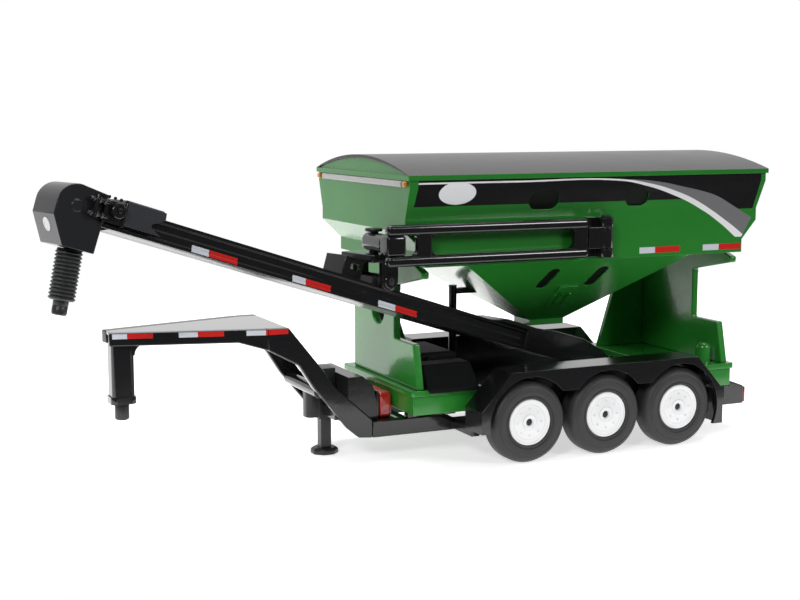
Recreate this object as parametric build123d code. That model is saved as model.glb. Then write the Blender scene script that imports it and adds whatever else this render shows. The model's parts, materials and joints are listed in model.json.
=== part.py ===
from build123d import *

import os
from math import cos, radians, sin

os.makedirs("parts", exist_ok=True)

# A 1:64 collector's model of a three-axle gooseneck seed tender with a side conveyor.
# Millimetres. Trailer axes: +X to the rear, -Y the left side, +Z up, ground at Z = 0.
# All the sizes below are measured from the middle axle and the centre plane.
# Every node is moved by (FRAME_X, FRAME_Y) at the end, so the file's origin is the
# middle of the bounding box on the ground.

# ---- running gear ------------------------------------------------------------------
TYRE_RADIUS = 6.25
TYRE_WIDTH = 4.2
TYRE_SHOULDER = 1.1
TYRE_BEAD_STEP = 0.25
HUB_RADIUS = 3.5
HUB_RECESS = 0.18
HUB_THICKNESS = 2.6
TYRE_GAP = 0.9
AXLE_SPACING = 2 * TYRE_RADIUS + TYRE_GAP
AXLE_RADIUS = 0.55
AXLE_RECESS = 0.35
AXLE_CLEARANCE = 0.05
WHEEL_FACE_Y = 19.5
AXLE_X = [-AXLE_SPACING, 0.0, AXLE_SPACING]

# ---- chassis -----------------------------------------------------------------------
RAIL_OUTER_Y = 7.94
RAIL_THICKNESS = 1.4
RAIL_BOTTOM = 3.5
RAIL_TOP = 6.0
REAR_RAIL_TOP = 5.2
RAIL_STEP_X = -21.5
RAIL_FRONT_X = -34.0
RAIL_REAR_X = 27.2
CARRIER_LENGTH = 3.6
CARRIER_TOP = TYRE_RADIUS + 1.15
CROSS_X = [-26.5, -AXLE_SPACING / 2, AXLE_SPACING / 2, 21.5]
CROSS_SIZE = 1.3

MACHINE_FLOOR_X = [-37.3, -29.7]
MACHINE_FLOOR_Z = 6.0
WELL_FLOOR_X = [-17.8, 16.6]
WELL_FLOOR_THICKNESS = 0.4
WELL_FLOOR_Z = CARRIER_TOP + WELL_FLOOR_THICKNESS

# ---- gooseneck ---------------------------------------------------------------------
NECK_TOP = 21.1
NECK_BEAM_DEPTH = 1.9
NECK_FRONT_X = -72.0
NECK_FRONT_Y = 1.6
SHOULDER_X = -50.3
SHOULDER_REAR_X = -47.2
NECK_PLATE_THICKNESS = 0.4
COUPLER_X = -70.0
POST_SIDE = 3.3
POST_BOTTOM = 11.6
POST_WEB = 1.6
POST_ROUND = 0.7
COLLAR_SIDE = 3.7
COLLAR_BOTTOM = 10.6
HITCH_PIN_RADIUS = 1.05
HITCH_PIN_BOTTOM = 8.1
CROSS_TUBE_X = -41.9
CROSS_TUBE_Z = 10.9
CROSS_TUBE_RADIUS = 0.95

# ---- landing jack ------------------------------------------------------------------
JACK_X = -38.7
JACK_LEG_SIDE = 1.7
JACK_CLEARANCE = 0.05
JACK_WALL = 0.45
JACK_TUBE_TOP = 13.4
JACK_TUBE_BOTTOM = 5.6
JACK_LEG_TOP = 8.6
JACK_FOOT_ACROSS = 4.0
JACK_FOOT_HEIGHT = 0.95
JACK_TRAVEL = 3.5

# ---- hopper ------------------------------------------------------------------------
RIM_TOP = 43.2
RIM_BEAD_HEIGHT = 0.7
RIM_BEAD_OUT = 0.3
BAND_BOTTOM = 41.3
CREASE_Z = 36.86
WAIST_Z = 34.95
SILL_TOP = 31.89
SILL_BOTTOM = 29.83
NECK_Z = 18.87
OUTLET_Z = 17.94
HOPPER_FRONT_X = -32.4
HOPPER_REAR_X = 30.5
HOPPER_CREASE_REAR_X = 30.0
SILL_FRONT_X = -29.2
SILL_REAR_X = 27.3
FUNNEL_FRONT_X = -22.4
FUNNEL_REAR_X = 17.3
OUTLET_FRONT_X = -4.0
OUTLET_REAR_X = 2.35
RIM_HALF = 17.5
SILL_HALF = 15.98
OUTLET_HALF = 2.5
SHEET = 0.8
TARP_RISE = 2.55
TARP_THICKNESS = 0.5
TARP_OVERHANG = 0.35

# ---- pedestals ---------------------------------------------------------------------
SKIRT_HALF = 12.97
SKIRT_BOTTOM = 7.4
DECK_Z = 11.2
DECK_THICKNESS = 0.9
FRONT_SKIRT_X = [-29.6, -18.6]
REAR_SKIRT_X = [17.0, 28.3]
PEDESTAL_THICKNESS = 1.2
FRONT_PEDESTAL_X = -29.0
REAR_PEDESTAL_X = 26.4
FAR_EDGE_Y = 10.9
WAIST_EDGE_Y = -4.6
SHOULDER_EDGE_Y = -11.4
FOOT_EDGE_Y = -12.9
SHOULDER_Z = 17.9
ACCESS_HOLE_RADIUS = 2.4
GUSSET_THICKNESS = 1.0

# ---- fenders -----------------------------------------------------------------------
FENDER_OUTER_Y = 19.9
FENDER_INNER_Y = 14.5
FENDER_SHEET = 0.6
FENDER_TOP = 2 * TYRE_RADIUS + 1.6
FENDER_FRONT_X = -AXLE_SPACING - TYRE_RADIUS - 2.15
FENDER_REAR_X = AXLE_SPACING + TYRE_RADIUS + 1.85
BRACKET_X = [FENDER_FRONT_X + 1.5, -AXLE_SPACING / 2, AXLE_SPACING / 2, FENDER_REAR_X - 1.4]
FENDER_DROP_Z = FENDER_TOP - 5.55
FENDER_BREAK_FRONT_X = FENDER_FRONT_X + 5.0
FENDER_BREAK_REAR_X = FENDER_REAR_X - 5.0
FENDER_FRONT_BOTTOM = 5.2
FENDER_REAR_BOTTOM = 3.1
ARCH_RADIUS = TYRE_RADIUS + 0.75
SCALLOP_Z = TYRE_RADIUS + 4.45

# ---- swing arm ---------------------------------------------------------------------
ARM_INNER_Y = -16.5
ARM_OUTER_Y = -18.2
ARM_FRONT_X = -36.0
ARM_REAR_X = -2.8
ARM_TOP = 36.3
ARM_BOTTOM = 30.3
ARM_RAIL = 1.55
ARM_POST_X = [[-31.3, -28.9], [-5.2, ARM_REAR_X]]
HINGE_X = 0.5
HINGE_Y = -17.5
HINGE_PIN_RADIUS = 0.5
HINGE_BARREL_RADIUS = 1.05
HINGE_CLEARANCE = 0.04
LUG_THICKNESS = 1.3
LUG_GAP = 0.06
LUG_RADIUS = 1.15
CROSS_BLOCK_REAR_X = -33.0
CROSS_BLOCK_INNER_Y = -7.5

# ---- conveyor pivots ---------------------------------------------------------------
PIVOT_X = -34.5
PIVOT_Y = -9.6
PIVOT_Z = 27.8
CONVEYOR_YAW = 14.0
CONVEYOR_TILT = 17.7
SWIVEL_PIN_RADIUS = 0.7
SWIVEL_CLEARANCE = 0.05
SWIVEL_GAP = 0.08
TILT_PIN_RADIUS = 0.5
TILT_CLEARANCE = 0.04
CHEEK_THICKNESS = 0.9
CHEEK_GAP = 0.08
BOSS_RADIUS = 1.45

# ---- conveyor, in its own axes: x along it to the low end, z square to its top -------
TROUGH_HALF = 3.0
TROUGH_TOP = -0.95
TROUGH_BOTTOM = -4.05
TROUGH_HEAD_X = -46.0
TROUGH_TAIL_X = 30.0
FLANGE = 0.45
WEB_INSET = 0.3
PAN_DROP = 0.45
PAN_HALF = 2.7
HEAD_HALF = 3.1
HEAD_CENTRE = (-49.9, -2.35)
HEAD_RADIUS = 2.7
HOOD_HALF = 3.4
SPOUT_TOP = (-47.9, -7.6)
SPOUT_LEAN = 5.5
SPOUT_RADIUS = 1.72
SPOUT_ROOT_RADIUS = 1.42
SPOUT_RIBS = 13
SPOUT_PITCH = 0.48
SPOUT_TIP_RADIUS = 0.98
SPOUT_TIP_LENGTH = 1.9

# ---- rear bumper -------------------------------------------------------------------
BUMPER_FRONT_X = 27.2
BUMPER_REAR_X = 31.4
BUMPER_HALF = 12.6
BUMPER_TOP = 8.1
BUMPER_BOTTOM = 4.0
LENS_THICKNESS = 0.6

PARTS = {}


def add(name, *solids):
    """Keep a node: one solid, or several identical ones that stay separate."""
    PARTS[name] = Compound(children=list(solids)) if len(solids) > 1 else solids[0]


def block(x0, x1, y0, y1, z0, z1):
    corner = Pos(min(x0, x1), min(y0, y1), min(z0, z1))
    size = (abs(x1 - x0), abs(y1 - y0), abs(z1 - z0))
    return corner * Box(*size, align=(Align.MIN, Align.MIN, Align.MIN))


def side_plate(outline, y0, y1):
    """A flat outline in X and Z, thick along Y."""
    wire = Wire.make_polygon([Vector(x, y0, z) for x, z in outline])
    return extrude(Face(wire), amount=y1 - y0, dir=(0, 1, 0))


def cross_plate(outline, x0, x1):
    """A flat outline in Y and Z, thick along X."""
    wire = Wire.make_polygon([Vector(x0, y, z) for y, z in outline])
    return extrude(Face(wire), amount=x1 - x0, dir=(1, 0, 0))


def floor_plate(outline, z0, z1):
    """A flat outline in X and Y, thick along Z."""
    wire = Wire.make_polygon([Vector(x, y, z0) for x, y in outline])
    return extrude(Face(wire), amount=z1 - z0, dir=(0, 0, 1))


def rod_y(x, z, radius, y0, y1):
    turned = Rot(90, 0, 0) * Cylinder(radius, abs(y1 - y0))
    return Pos(x, (y0 + y1) / 2, z) * turned


def rod_z(x, y, radius, z0, z1):
    return Pos(x, y, (z0 + z1) / 2) * Cylinder(radius, abs(z1 - z0))


def frustum(low, high):
    """A closed box between two level rectangles, each (z, x0, x1, half width)."""
    faces = []
    for z, x0, x1, half in (low, high):
        corners = [(x0, -half), (x1, -half), (x1, half), (x0, half)]
        faces.append(Face(Wire.make_polygon([Vector(x, y, z) for x, y in corners])))
    return loft(faces)


def mirrored(shape):
    return mirror(shape, about=Plane.XZ)


# ---- wheels and axles --------------------------------------------------------------
def wheel_tyre(x):
    inner = WHEEL_FACE_Y - TYRE_WIDTH
    ring = rod_y(x, TYRE_RADIUS, TYRE_RADIUS, inner, WHEEL_FACE_Y)
    ring = fillet(ring.edges().filter_by(GeomType.CIRCLE), TYRE_SHOULDER)
    return ring - rod_y(x, TYRE_RADIUS, HUB_RADIUS, inner - 1, WHEEL_FACE_Y + 1)


def wheel_hub(x):
    outer = WHEEL_FACE_Y - HUB_RECESS
    disc = rod_y(x, TYRE_RADIUS, HUB_RADIUS, outer - HUB_THICKNESS, outer)
    return disc - rod_y(x, TYRE_RADIUS, AXLE_RADIUS, 0, WHEEL_FACE_Y + 1)


def axle_rod(x):
    end = WHEEL_FACE_Y - HUB_RECESS - AXLE_RECESS
    return rod_y(x, TYRE_RADIUS, AXLE_RADIUS, -end, end)


def axle_carrier(x):
    inner = RAIL_OUTER_Y - RAIL_THICKNESS
    half = CARRIER_LENGTH / 2
    body = block(x - half, x + half, inner, RAIL_OUTER_Y, REAR_RAIL_TOP, CARRIER_TOP)
    body = fillet(body.edges().filter_by(Axis.Y).group_by(Axis.Z)[-1], 0.8)
    return body - rod_y(x, TYRE_RADIUS, AXLE_RADIUS + AXLE_CLEARANCE, 0, WHEEL_FACE_Y)


def running_gear():
    for place, x in zip(["front", "middle", "rear"], AXLE_X):
        add("tyres_" + place, wheel_tyre(x), mirrored(wheel_tyre(x)))
        add("hubs_" + place, wheel_hub(x), mirrored(wheel_hub(x)))
        add("axle_" + place, axle_rod(x))
    carriers = []
    for x in AXLE_X:
        carriers += [axle_carrier(x), mirrored(axle_carrier(x))]
    add("axle_carriers", *carriers)


# ---- chassis -----------------------------------------------------------------------
def right_rail():
    outline = [
        (RAIL_FRONT_X, RAIL_BOTTOM),
        (RAIL_REAR_X, RAIL_BOTTOM),
        (RAIL_REAR_X, REAR_RAIL_TOP),
        (RAIL_STEP_X + 1.5, REAR_RAIL_TOP),
        (RAIL_STEP_X, RAIL_TOP),
        (RAIL_FRONT_X, RAIL_TOP),
    ]
    return side_plate(outline, RAIL_OUTER_Y - RAIL_THICKNESS, RAIL_OUTER_Y)


def chassis():
    rail = right_rail()
    add("chassis_rails", rail, mirrored(rail))
    inner = RAIL_OUTER_Y - RAIL_THICKNESS
    tubes = []
    for x in CROSS_X:
        low = RAIL_BOTTOM + 0.2
        tubes.append(block(x - CROSS_SIZE / 2, x + CROSS_SIZE / 2, -inner, inner, low, low + CROSS_SIZE))
    tubes.append(block(*MACHINE_FLOOR_X, -inner, inner, MACHINE_FLOOR_Z - 0.7, MACHINE_FLOOR_Z))
    wide = FENDER_INNER_Y
    tubes.append(block(*WELL_FLOOR_X, -wide, wide, CARRIER_TOP, WELL_FLOOR_Z))
    add("cross_members", *tubes)
    columns = []
    for x in (FRONT_SKIRT_X[0] + 2.2, FRONT_SKIRT_X[1] - 2.2):
        columns += support_columns(x, RAIL_TOP)
    for x in (REAR_SKIRT_X[0] + 2.2, REAR_SKIRT_X[1] - 2.2):
        columns += support_columns(x, REAR_RAIL_TOP)
    add("deck_supports", *columns)


def support_columns(x, base):
    inner = RAIL_OUTER_Y - RAIL_THICKNESS
    column = block(x - 0.8, x + 0.8, inner, RAIL_OUTER_Y, base, DECK_Z - DECK_THICKNESS)
    return [column, mirrored(column)]


# ---- gooseneck ---------------------------------------------------------------------
def right_drop_leg():
    outline = [
        (SHOULDER_X, NECK_TOP),
        (SHOULDER_REAR_X, NECK_TOP),
        (-41.9, 14.45),
        (-40.1, 11.8),
        (RAIL_FRONT_X, RAIL_TOP + 0.3),
        (RAIL_FRONT_X, RAIL_BOTTOM),
        (-36.2, RAIL_BOTTOM + 0.2),
        (-38.2, 5.4),
        (-39.5, 7.1),
        (-43.4, 11.8),
        (-45.7, 15.4),
        (SHOULDER_X, 17.9),
    ]
    return side_plate(outline, RAIL_OUTER_Y - RAIL_THICKNESS, RAIL_OUTER_Y)


def right_neck_beam():
    """The upper beam, straight from the coupler out to the shoulder."""
    wide = RAIL_OUTER_Y - RAIL_THICKNESS / 2
    run = Vector(SHOULDER_X - NECK_FRONT_X, wide - NECK_FRONT_Y, 0)
    reach = run.length
    base = Plane(origin=(NECK_FRONT_X, NECK_FRONT_Y, 0), x_dir=run, z_dir=run.cross(Vector(0, 0, 1)))
    outline = [
        (0, NECK_TOP - NECK_BEAM_DEPTH),
        (reach - 4.2, NECK_TOP - NECK_BEAM_DEPTH),
        (reach + 0.25, 17.9),
        (reach + 0.25, NECK_TOP),
        (0, NECK_TOP),
    ]
    wire = Wire.make_polygon([base.from_local_coords((s, z, 0)) for s, z in outline])
    beam = extrude(Face(wire), amount=RAIL_THICKNESS / 2, dir=base.z_dir, both=True)
    return beam - block(SHOULDER_X, 0, 0, 20, 0, 30)


def neck_plate():
    half_front = NECK_FRONT_Y - RAIL_THICKNESS / 2 + 0.02
    half_back = RAIL_OUTER_Y - RAIL_THICKNESS
    outline = [
        (NECK_FRONT_X + 0.15, -half_front),
        (SHOULDER_X + 0.05, -half_back),
        (SHOULDER_REAR_X, -half_back),
        (SHOULDER_REAR_X, half_back),
        (SHOULDER_X + 0.05, half_back),
        (NECK_FRONT_X + 0.15, half_front),
    ]
    return floor_plate(outline, NECK_TOP - 0.05 - NECK_PLATE_THICKNESS, NECK_TOP - 0.05)


def gooseneck():
    leg = right_drop_leg()
    beam = right_neck_beam()
    add("neck_legs", leg, mirrored(leg))
    add("neck_beams", beam, mirrored(beam))
    plate = neck_plate() - beam - mirrored(beam)
    add("neck_plate", plate)
    half = POST_SIDE / 2
    top = NECK_TOP - 0.05 - NECK_PLATE_THICKNESS
    post = block(COUPLER_X - half, COUPLER_X + half, -half, half, POST_BOTTOM, top)
    web_top = NECK_TOP - NECK_BEAM_DEPTH
    web = block(COUPLER_X + half - 0.5, COUPLER_X + half + POST_WEB, -half, half, web_top - POST_WEB, top)
    web -= rod_y(COUPLER_X + half + POST_WEB, web_top - POST_WEB, POST_WEB, -5, 5)
    post = fillet(post.edges().filter_by(Axis.Z), POST_ROUND) + web - beam - mirrored(beam)
    half = COLLAR_SIDE / 2
    collar = block(COUPLER_X - half, COUPLER_X + half, -half, half, COLLAR_BOTTOM, POST_BOTTOM)
    add("coupler_post", post + fillet(collar.edges().filter_by(Axis.Z), 0.8))
    pin = rod_z(COUPLER_X, 0, HITCH_PIN_RADIUS, HITCH_PIN_BOTTOM, COLLAR_BOTTOM)
    add("hitch_pin", chamfer(pin.edges().group_by(Axis.Z)[0], 0.2))


# ---- landing jack ------------------------------------------------------------------
def jack():
    half = JACK_LEG_SIDE / 2
    leg = block(JACK_X - half, JACK_X + half, -half, half, JACK_FOOT_HEIGHT, JACK_LEG_TOP)
    foot = Pos(JACK_X, 0, 0) * extrude(
        RegularPolygon(JACK_FOOT_ACROSS / 2, 8, major_radius=False, rotation=22.5), JACK_FOOT_HEIGHT
    )
    foot = chamfer(foot.edges().group_by(Axis.Z)[-1], 0.3)
    add("jack_leg", leg + foot)
    bore = half + JACK_CLEARANCE
    outer = bore + JACK_WALL
    tube = block(JACK_X - outer, JACK_X + outer, -outer, outer, JACK_TUBE_BOTTOM, JACK_TUBE_TOP)
    tube -= block(JACK_X - bore, JACK_X + bore, -bore, bore, 0, JACK_TUBE_TOP - 0.6)
    gear = block(JACK_X - outer - 1.9, JACK_X - outer, -1.3, 1.3, 5.9, 9.85)
    gear = fillet(gear.edges().group_by(Axis.X)[0].filter_by(Axis.Z), 0.9)
    add("jack_tube", tube + gear)
    inner = RAIL_OUTER_Y - RAIL_THICKNESS
    stub = block(JACK_X - 0.9, JACK_X + 0.9, outer, inner, 6.4, 8.0)
    tube = rod_y(CROSS_TUBE_X, CROSS_TUBE_Z, CROSS_TUBE_RADIUS, -inner, inner)
    add("neck_cross_bars", tube, stub, mirrored(stub))


# ---- hopper ------------------------------------------------------------------------
def hopper_levels(inset):
    """Level rectangles from the rim down, moved inwards by the sheet thickness."""
    i = inset
    return [
        (RIM_TOP, HOPPER_FRONT_X + i, HOPPER_REAR_X - i, RIM_HALF - i),
        (BAND_BOTTOM, HOPPER_FRONT_X + i, HOPPER_REAR_X - i, RIM_HALF - i),
        (CREASE_Z, HOPPER_FRONT_X + i, HOPPER_CREASE_REAR_X - i, SILL_HALF - i),
        (WAIST_Z, HOPPER_FRONT_X + i, HOPPER_CREASE_REAR_X - i, SILL_HALF - i),
        (SILL_TOP, SILL_FRONT_X + i, SILL_REAR_X - i, SILL_HALF - i),
    ]


def hopper_solid(inset):
    levels = hopper_levels(inset)
    stack = frustum(levels[1], levels[0])
    for upper, lower in zip(levels[1:-1], levels[2:]):
        stack += frustum(lower, upper)
    i = inset
    sill = (SILL_BOTTOM + i, SILL_FRONT_X + i, SILL_REAR_X - i, SILL_HALF - i)
    stack += frustum(sill, levels[-1])
    funnel_top = (SILL_BOTTOM + i, FUNNEL_FRONT_X + i, FUNNEL_REAR_X - i, SILL_HALF - i)
    neck_top = (NECK_Z + i, OUTLET_FRONT_X + i, OUTLET_REAR_X - i, OUTLET_HALF - i)
    neck_end = (OUTLET_Z, OUTLET_FRONT_X, OUTLET_REAR_X, OUTLET_HALF)
    stack += frustum(neck_top, funnel_top)
    if inset == 0:
        stack += frustum(neck_end, neck_top)
    return stack


def tarp_arc(x0, x1, drop):
    """The space under the arched cover, lowered by a thickness."""
    half = RIM_HALF + RIM_BEAD_OUT - drop
    start = (-half, RIM_TOP)
    crown = (0, RIM_TOP + TARP_RISE - drop)
    end = (half, RIM_TOP)
    arc = ThreePointArc(start, crown, end)
    face = make_face([arc, Line(end, start)])
    placed = Plane(origin=(x0, 0, 0), x_dir=(0, 1, 0), z_dir=(1, 0, 0)) * face
    return extrude(placed, amount=x1 - x0, dir=(1, 0, 0))


def window_plane(x, z, half_at_z, lean):
    """A plane on the left wall, facing out and down by the wall's lean."""
    normal = (0, -cos(radians(lean)), -sin(radians(lean)))
    return Plane(origin=(x, -half_at_z, z), x_dir=(1, 0, 0), z_dir=normal)


def oval(plane, length, height, turn, depth_from, depth_to):
    shape = plane * (Rot(0, 0, turn) * SlotOverall(length, height))
    start = shape.moved(Location(plane.z_dir * depth_from))
    return extrude(start, amount=depth_from - depth_to, dir=-plane.z_dir)


def band_half(z):
    """Half width of the slanting side wall between the crease and the rim band."""
    share = (z - CREASE_Z) / (BAND_BOTTOM - CREASE_Z)
    return SILL_HALF + share * (RIM_HALF - SILL_HALF)


def funnel_half(z):
    share = (z - NECK_Z) / (SILL_BOTTOM - NECK_Z)
    return OUTLET_HALF + share * (SILL_HALF - OUTLET_HALF)


WINDOW_Z = 39.1
BAND_LEAN = 18.9
FUNNEL_LEAN = 50.9
WINDOWS = [(-9.9, 5.3, 3.0), (6.6, 4.3, 2.8)]
PORT_Z = 26.65
PORT_X = [-6.35, 2.4]
PORT_TURN = 83.0
PORT_LENGTH = 5.7
PORT_WIDTH = 2.0
RELIEF_X = -1.5
RECESS = 0.5
INSERT = 0.25


def left_windows(depth_from, depth_to):
    shapes = []
    for x, length, height in WINDOWS:
        plane = window_plane(x, WINDOW_Z, band_half(WINDOW_Z), BAND_LEAN)
        shapes.append(oval(plane, length, height, 0, depth_from, depth_to))
    for x in PORT_X:
        plane = window_plane(x, PORT_Z, funnel_half(PORT_Z), FUNNEL_LEAN)
        shapes.append(oval(plane, PORT_LENGTH, PORT_WIDTH, PORT_TURN, depth_from, depth_to))
    return shapes


def hopper():
    shell = hopper_solid(0)
    bead_z = RIM_TOP - RIM_BEAD_HEIGHT
    out = RIM_BEAD_OUT
    bead = block(
        HOPPER_FRONT_X - out, HOPPER_REAR_X + out, -RIM_HALF - out, RIM_HALF + out, bead_z, RIM_TOP
    )
    ends = tarp_arc(HOPPER_FRONT_X, HOPPER_REAR_X, TARP_THICKNESS + 0.02)
    shell = shell + bead + ends
    hollow = hopper_solid(SHEET)
    hollow += block(
        HOPPER_FRONT_X + SHEET,
        HOPPER_REAR_X - SHEET,
        -RIM_HALF + SHEET,
        RIM_HALF - SHEET,
        RIM_TOP - 0.01,
        RIM_TOP + 4,
    )
    shell -= hollow
    plane = window_plane(RELIEF_X, 24.8, funnel_half(24.8), FUNNEL_LEAN)
    relief = extrude(plane * Rectangle(3.4, 1.5), amount=0.35, dir=plane.z_dir)
    ribs = []
    for offset in (-1.35, 0.0, 1.35):
        low = window_plane(RELIEF_X + offset, 22.7, funnel_half(22.7), FUNNEL_LEAN)
        ribs.append(extrude(low * Rectangle(0.35, 3.4), amount=0.22, dir=low.z_dir))
    shell = shell + relief + mirrored(relief)
    for rib in ribs:
        shell = shell + rib + mirrored(rib)
    inserts = []
    for pocket in left_windows(0.4, -RECESS):
        shell = shell - pocket - mirrored(pocket)
    for glass in left_windows(-RECESS + INSERT, -RECESS):
        inserts += [glass, mirrored(glass)]
    add("hopper_shell", shell)
    add("sight_windows", *inserts)
    cover = tarp_arc(HOPPER_FRONT_X - TARP_OVERHANG, HOPPER_REAR_X + TARP_OVERHANG, 0)
    cover -= tarp_arc(HOPPER_FRONT_X - 2, HOPPER_REAR_X + 2, TARP_THICKNESS)
    add("tarp_cover", cover)
    front = HOPPER_FRONT_X
    strip = [(-15.9, 41.85), (-15.1, 41.45), (15.3, 41.45), (15.3, 42.35), (-15.1, 42.35)]
    add("light_strip", cross_plate(strip, front - 0.4, front))
    lamps = []
    for y in (-16.45, 16.45):
        lamp = block(front - 0.55, front, y - 0.5, y + 0.5, 41.55, 42.35)
        lamps.append(fillet(lamp.edges().group_by(Axis.X)[0], 0.2))
    add("marker_lamps", *lamps)


# ---- pedestals ---------------------------------------------------------------------
def pedestal_plate(x0):
    outline = [
        (-11.7, SILL_BOTTOM),
        (-14.5, 28.9),
        (-14.4, 28.0),
        (WAIST_EDGE_Y, 26.0),
        (WAIST_EDGE_Y, SHOULDER_Z),
        (SHOULDER_EDGE_Y, SHOULDER_Z),
        (FOOT_EDGE_Y, DECK_Z),
        (FAR_EDGE_Y, DECK_Z),
        (FAR_EDGE_Y, SILL_BOTTOM),
    ]
    return cross_plate(outline, x0, x0 + PEDESTAL_THICKNESS)


def skirt(x0, x1, open_back):
    wall = 0.9
    frame = block(x0, x1, -SKIRT_HALF, SKIRT_HALF, SKIRT_BOTTOM, DECK_Z - DECK_THICKNESS)
    frame -= block(
        x0 + wall, x1 - wall, -SKIRT_HALF + wall, SKIRT_HALF - wall, SKIRT_BOTTOM - 1, DECK_Z
    )
    if open_back > 0:
        frame -= block(x1 - wall - 0.1, x1 + 1, -SKIRT_HALF + wall, SKIRT_HALF - wall, 0, DECK_Z)
    else:
        frame -= block(x0 - 1, x0 + wall + 0.1, -SKIRT_HALF + wall, SKIRT_HALF - wall, 0, DECK_Z)
    return frame


def deck(x0, x1):
    lip = 0.35
    slab = block(
        x0 - lip, x1 + lip, -SKIRT_HALF - lip, SKIRT_HALF + lip, DECK_Z - DECK_THICKNESS, DECK_Z
    )
    return fillet(slab.edges().filter_by(Axis.Z), 0.4)


def far_gusset(x_plate, x_foot, x_head):
    outline = [(x_plate, DECK_Z), (x_foot, DECK_Z), (x_head, SILL_BOTTOM), (x_plate, SILL_BOTTOM)]
    return side_plate(outline, FAR_EDGE_Y - GUSSET_THICKNESS, FAR_EDGE_Y)


def pedestals():
    plate = pedestal_plate(FRONT_PEDESTAL_X)
    hole = Pos(FRONT_PEDESTAL_X, 1.5, 21.8) * (Rot(0, 90, 0) * Cylinder(ACCESS_HOLE_RADIUS, 6))
    add("front_pedestal", plate - hole)
    add("rear_pedestal", pedestal_plate(REAR_PEDESTAL_X))
    inside = FRONT_PEDESTAL_X + PEDESTAL_THICKNESS
    front = far_gusset(inside, -18.9, -25.2)
    add("pedestal_gussets", front, far_gusset(REAR_PEDESTAL_X, 17.3, 23.0))
    rear = skirt(REAR_SKIRT_X[0], REAR_SKIRT_X[1], -1)
    add("pedestal_skirts", skirt(FRONT_SKIRT_X[0], FRONT_SKIRT_X[1], 1), rear)
    boss = rod_z(24.4, -10.6, 1.2, DECK_Z - 0.2, 14.4)
    boss = fillet(boss.edges().group_by(Axis.Z)[-1], 0.8)
    rear = deck(REAR_SKIRT_X[0], REAR_SKIRT_X[1]) + boss
    add("pedestal_decks", deck(FRONT_SKIRT_X[0], FRONT_SKIRT_X[1]), rear)


# ---- machinery on the chassis ------------------------------------------------------
def funnel_front_x(z):
    """Where the funnel's front slope is at a height."""
    share = (SILL_BOTTOM - z) / (SILL_BOTTOM - NECK_Z)
    return FUNNEL_FRONT_X + share * (OUTLET_FRONT_X - FUNNEL_FRONT_X)


def machinery():
    floor = MACHINE_FLOOR_Z
    back = -32.6
    front = -37.25
    outline = [(front, floor), (back, floor), (back, 8.7), (-33.3, 11.3), (-34.9, 12.7), (front, 12.7)]
    cowl = side_plate(outline, -6.3, 6.3)
    add("engine_cowl", cowl + block(back, back + 0.35, -6.2, 6.2, floor, 10.2))
    tank = block(-32.1, -30.0, -6.2, 6.2, floor, 10.0)
    add("fuel_tank", fillet(tank.edges().group_by(Axis.Z)[-1] + tank.edges().filter_by(Axis.Z), 0.45))
    box = [
        (-11.0, 14.6),
        (-14.2, 11.3),
        (-14.2, 10.8),
        (-13.4, 10.8),
        (-13.4, DECK_Z),
        (-7.6, DECK_Z),
        (-7.6, 14.6),
    ]
    add("control_box", cross_plate(box, -27.4, -19.2))
    engine = block(-26.0, -18.9, -5.8, 5.0, DECK_Z, 15.4)
    engine = fillet(engine.edges().group_by(Axis.Z)[-1], 0.7)
    add("pump_engine", engine + rod_y(-23.5, 13.4, 1.5, -6.9, -5.8))
    tube_x = -15.4
    tube_y = 2.4
    tube = rod_z(tube_x, tube_y, 0.65, WELL_FLOOR_Z, 24.6)
    low = 23.2
    high = 24.1
    stay = [(tube_x, low), (funnel_front_x(low), low), (funnel_front_x(high), high), (tube_x, high)]
    add("support_tube", tube + side_plate(stay, tube_y - 0.5, tube_y + 0.5))


# ---- fenders -----------------------------------------------------------------------
def right_fender():
    outer = [
        (FENDER_FRONT_X, FENDER_FRONT_BOTTOM),
        (FENDER_FRONT_X, FENDER_DROP_Z),
        (FENDER_BREAK_FRONT_X, FENDER_TOP),
        (FENDER_BREAK_REAR_X, FENDER_TOP),
        (FENDER_REAR_X, FENDER_DROP_Z),
        (FENDER_REAR_X, FENDER_REAR_BOTTOM),
    ]
    t = FENDER_SHEET
    inner = [
        (FENDER_REAR_X - t, FENDER_REAR_BOTTOM),
        (FENDER_REAR_X - t, FENDER_DROP_Z - 0.25),
        (FENDER_BREAK_REAR_X - 0.3, FENDER_TOP - t),
        (FENDER_BREAK_FRONT_X + 0.3, FENDER_TOP - t),
        (FENDER_FRONT_X + t, FENDER_DROP_Z - 0.25),
        (FENDER_FRONT_X + t, FENDER_FRONT_BOTTOM),
    ]
    strip = side_plate(outer + inner, FENDER_INNER_Y, FENDER_OUTER_Y - t)
    well_wall = [(x, max(z, CARRIER_TOP)) for x, z in inner]
    strip += side_plate(well_wall, FENDER_INNER_Y, FENDER_INNER_Y + t)
    skirt_outline = outer + [(FENDER_FRONT_X, FENDER_REAR_BOTTOM)]
    skirt_plate = side_plate(skirt_outline, FENDER_OUTER_Y - t, FENDER_OUTER_Y)
    skirt_plate -= block(-AXLE_SPACING, AXLE_SPACING, 0, 30, 0, SCALLOP_Z)
    skirt_plate -= block(-30, FENDER_FRONT_X + 3, 0, 30, 0, FENDER_FRONT_BOTTOM)
    for x in AXLE_X:
        skirt_plate -= rod_y(x, TYRE_RADIUS, ARCH_RADIUS, 15, 25)
    return strip, skirt_plate


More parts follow.
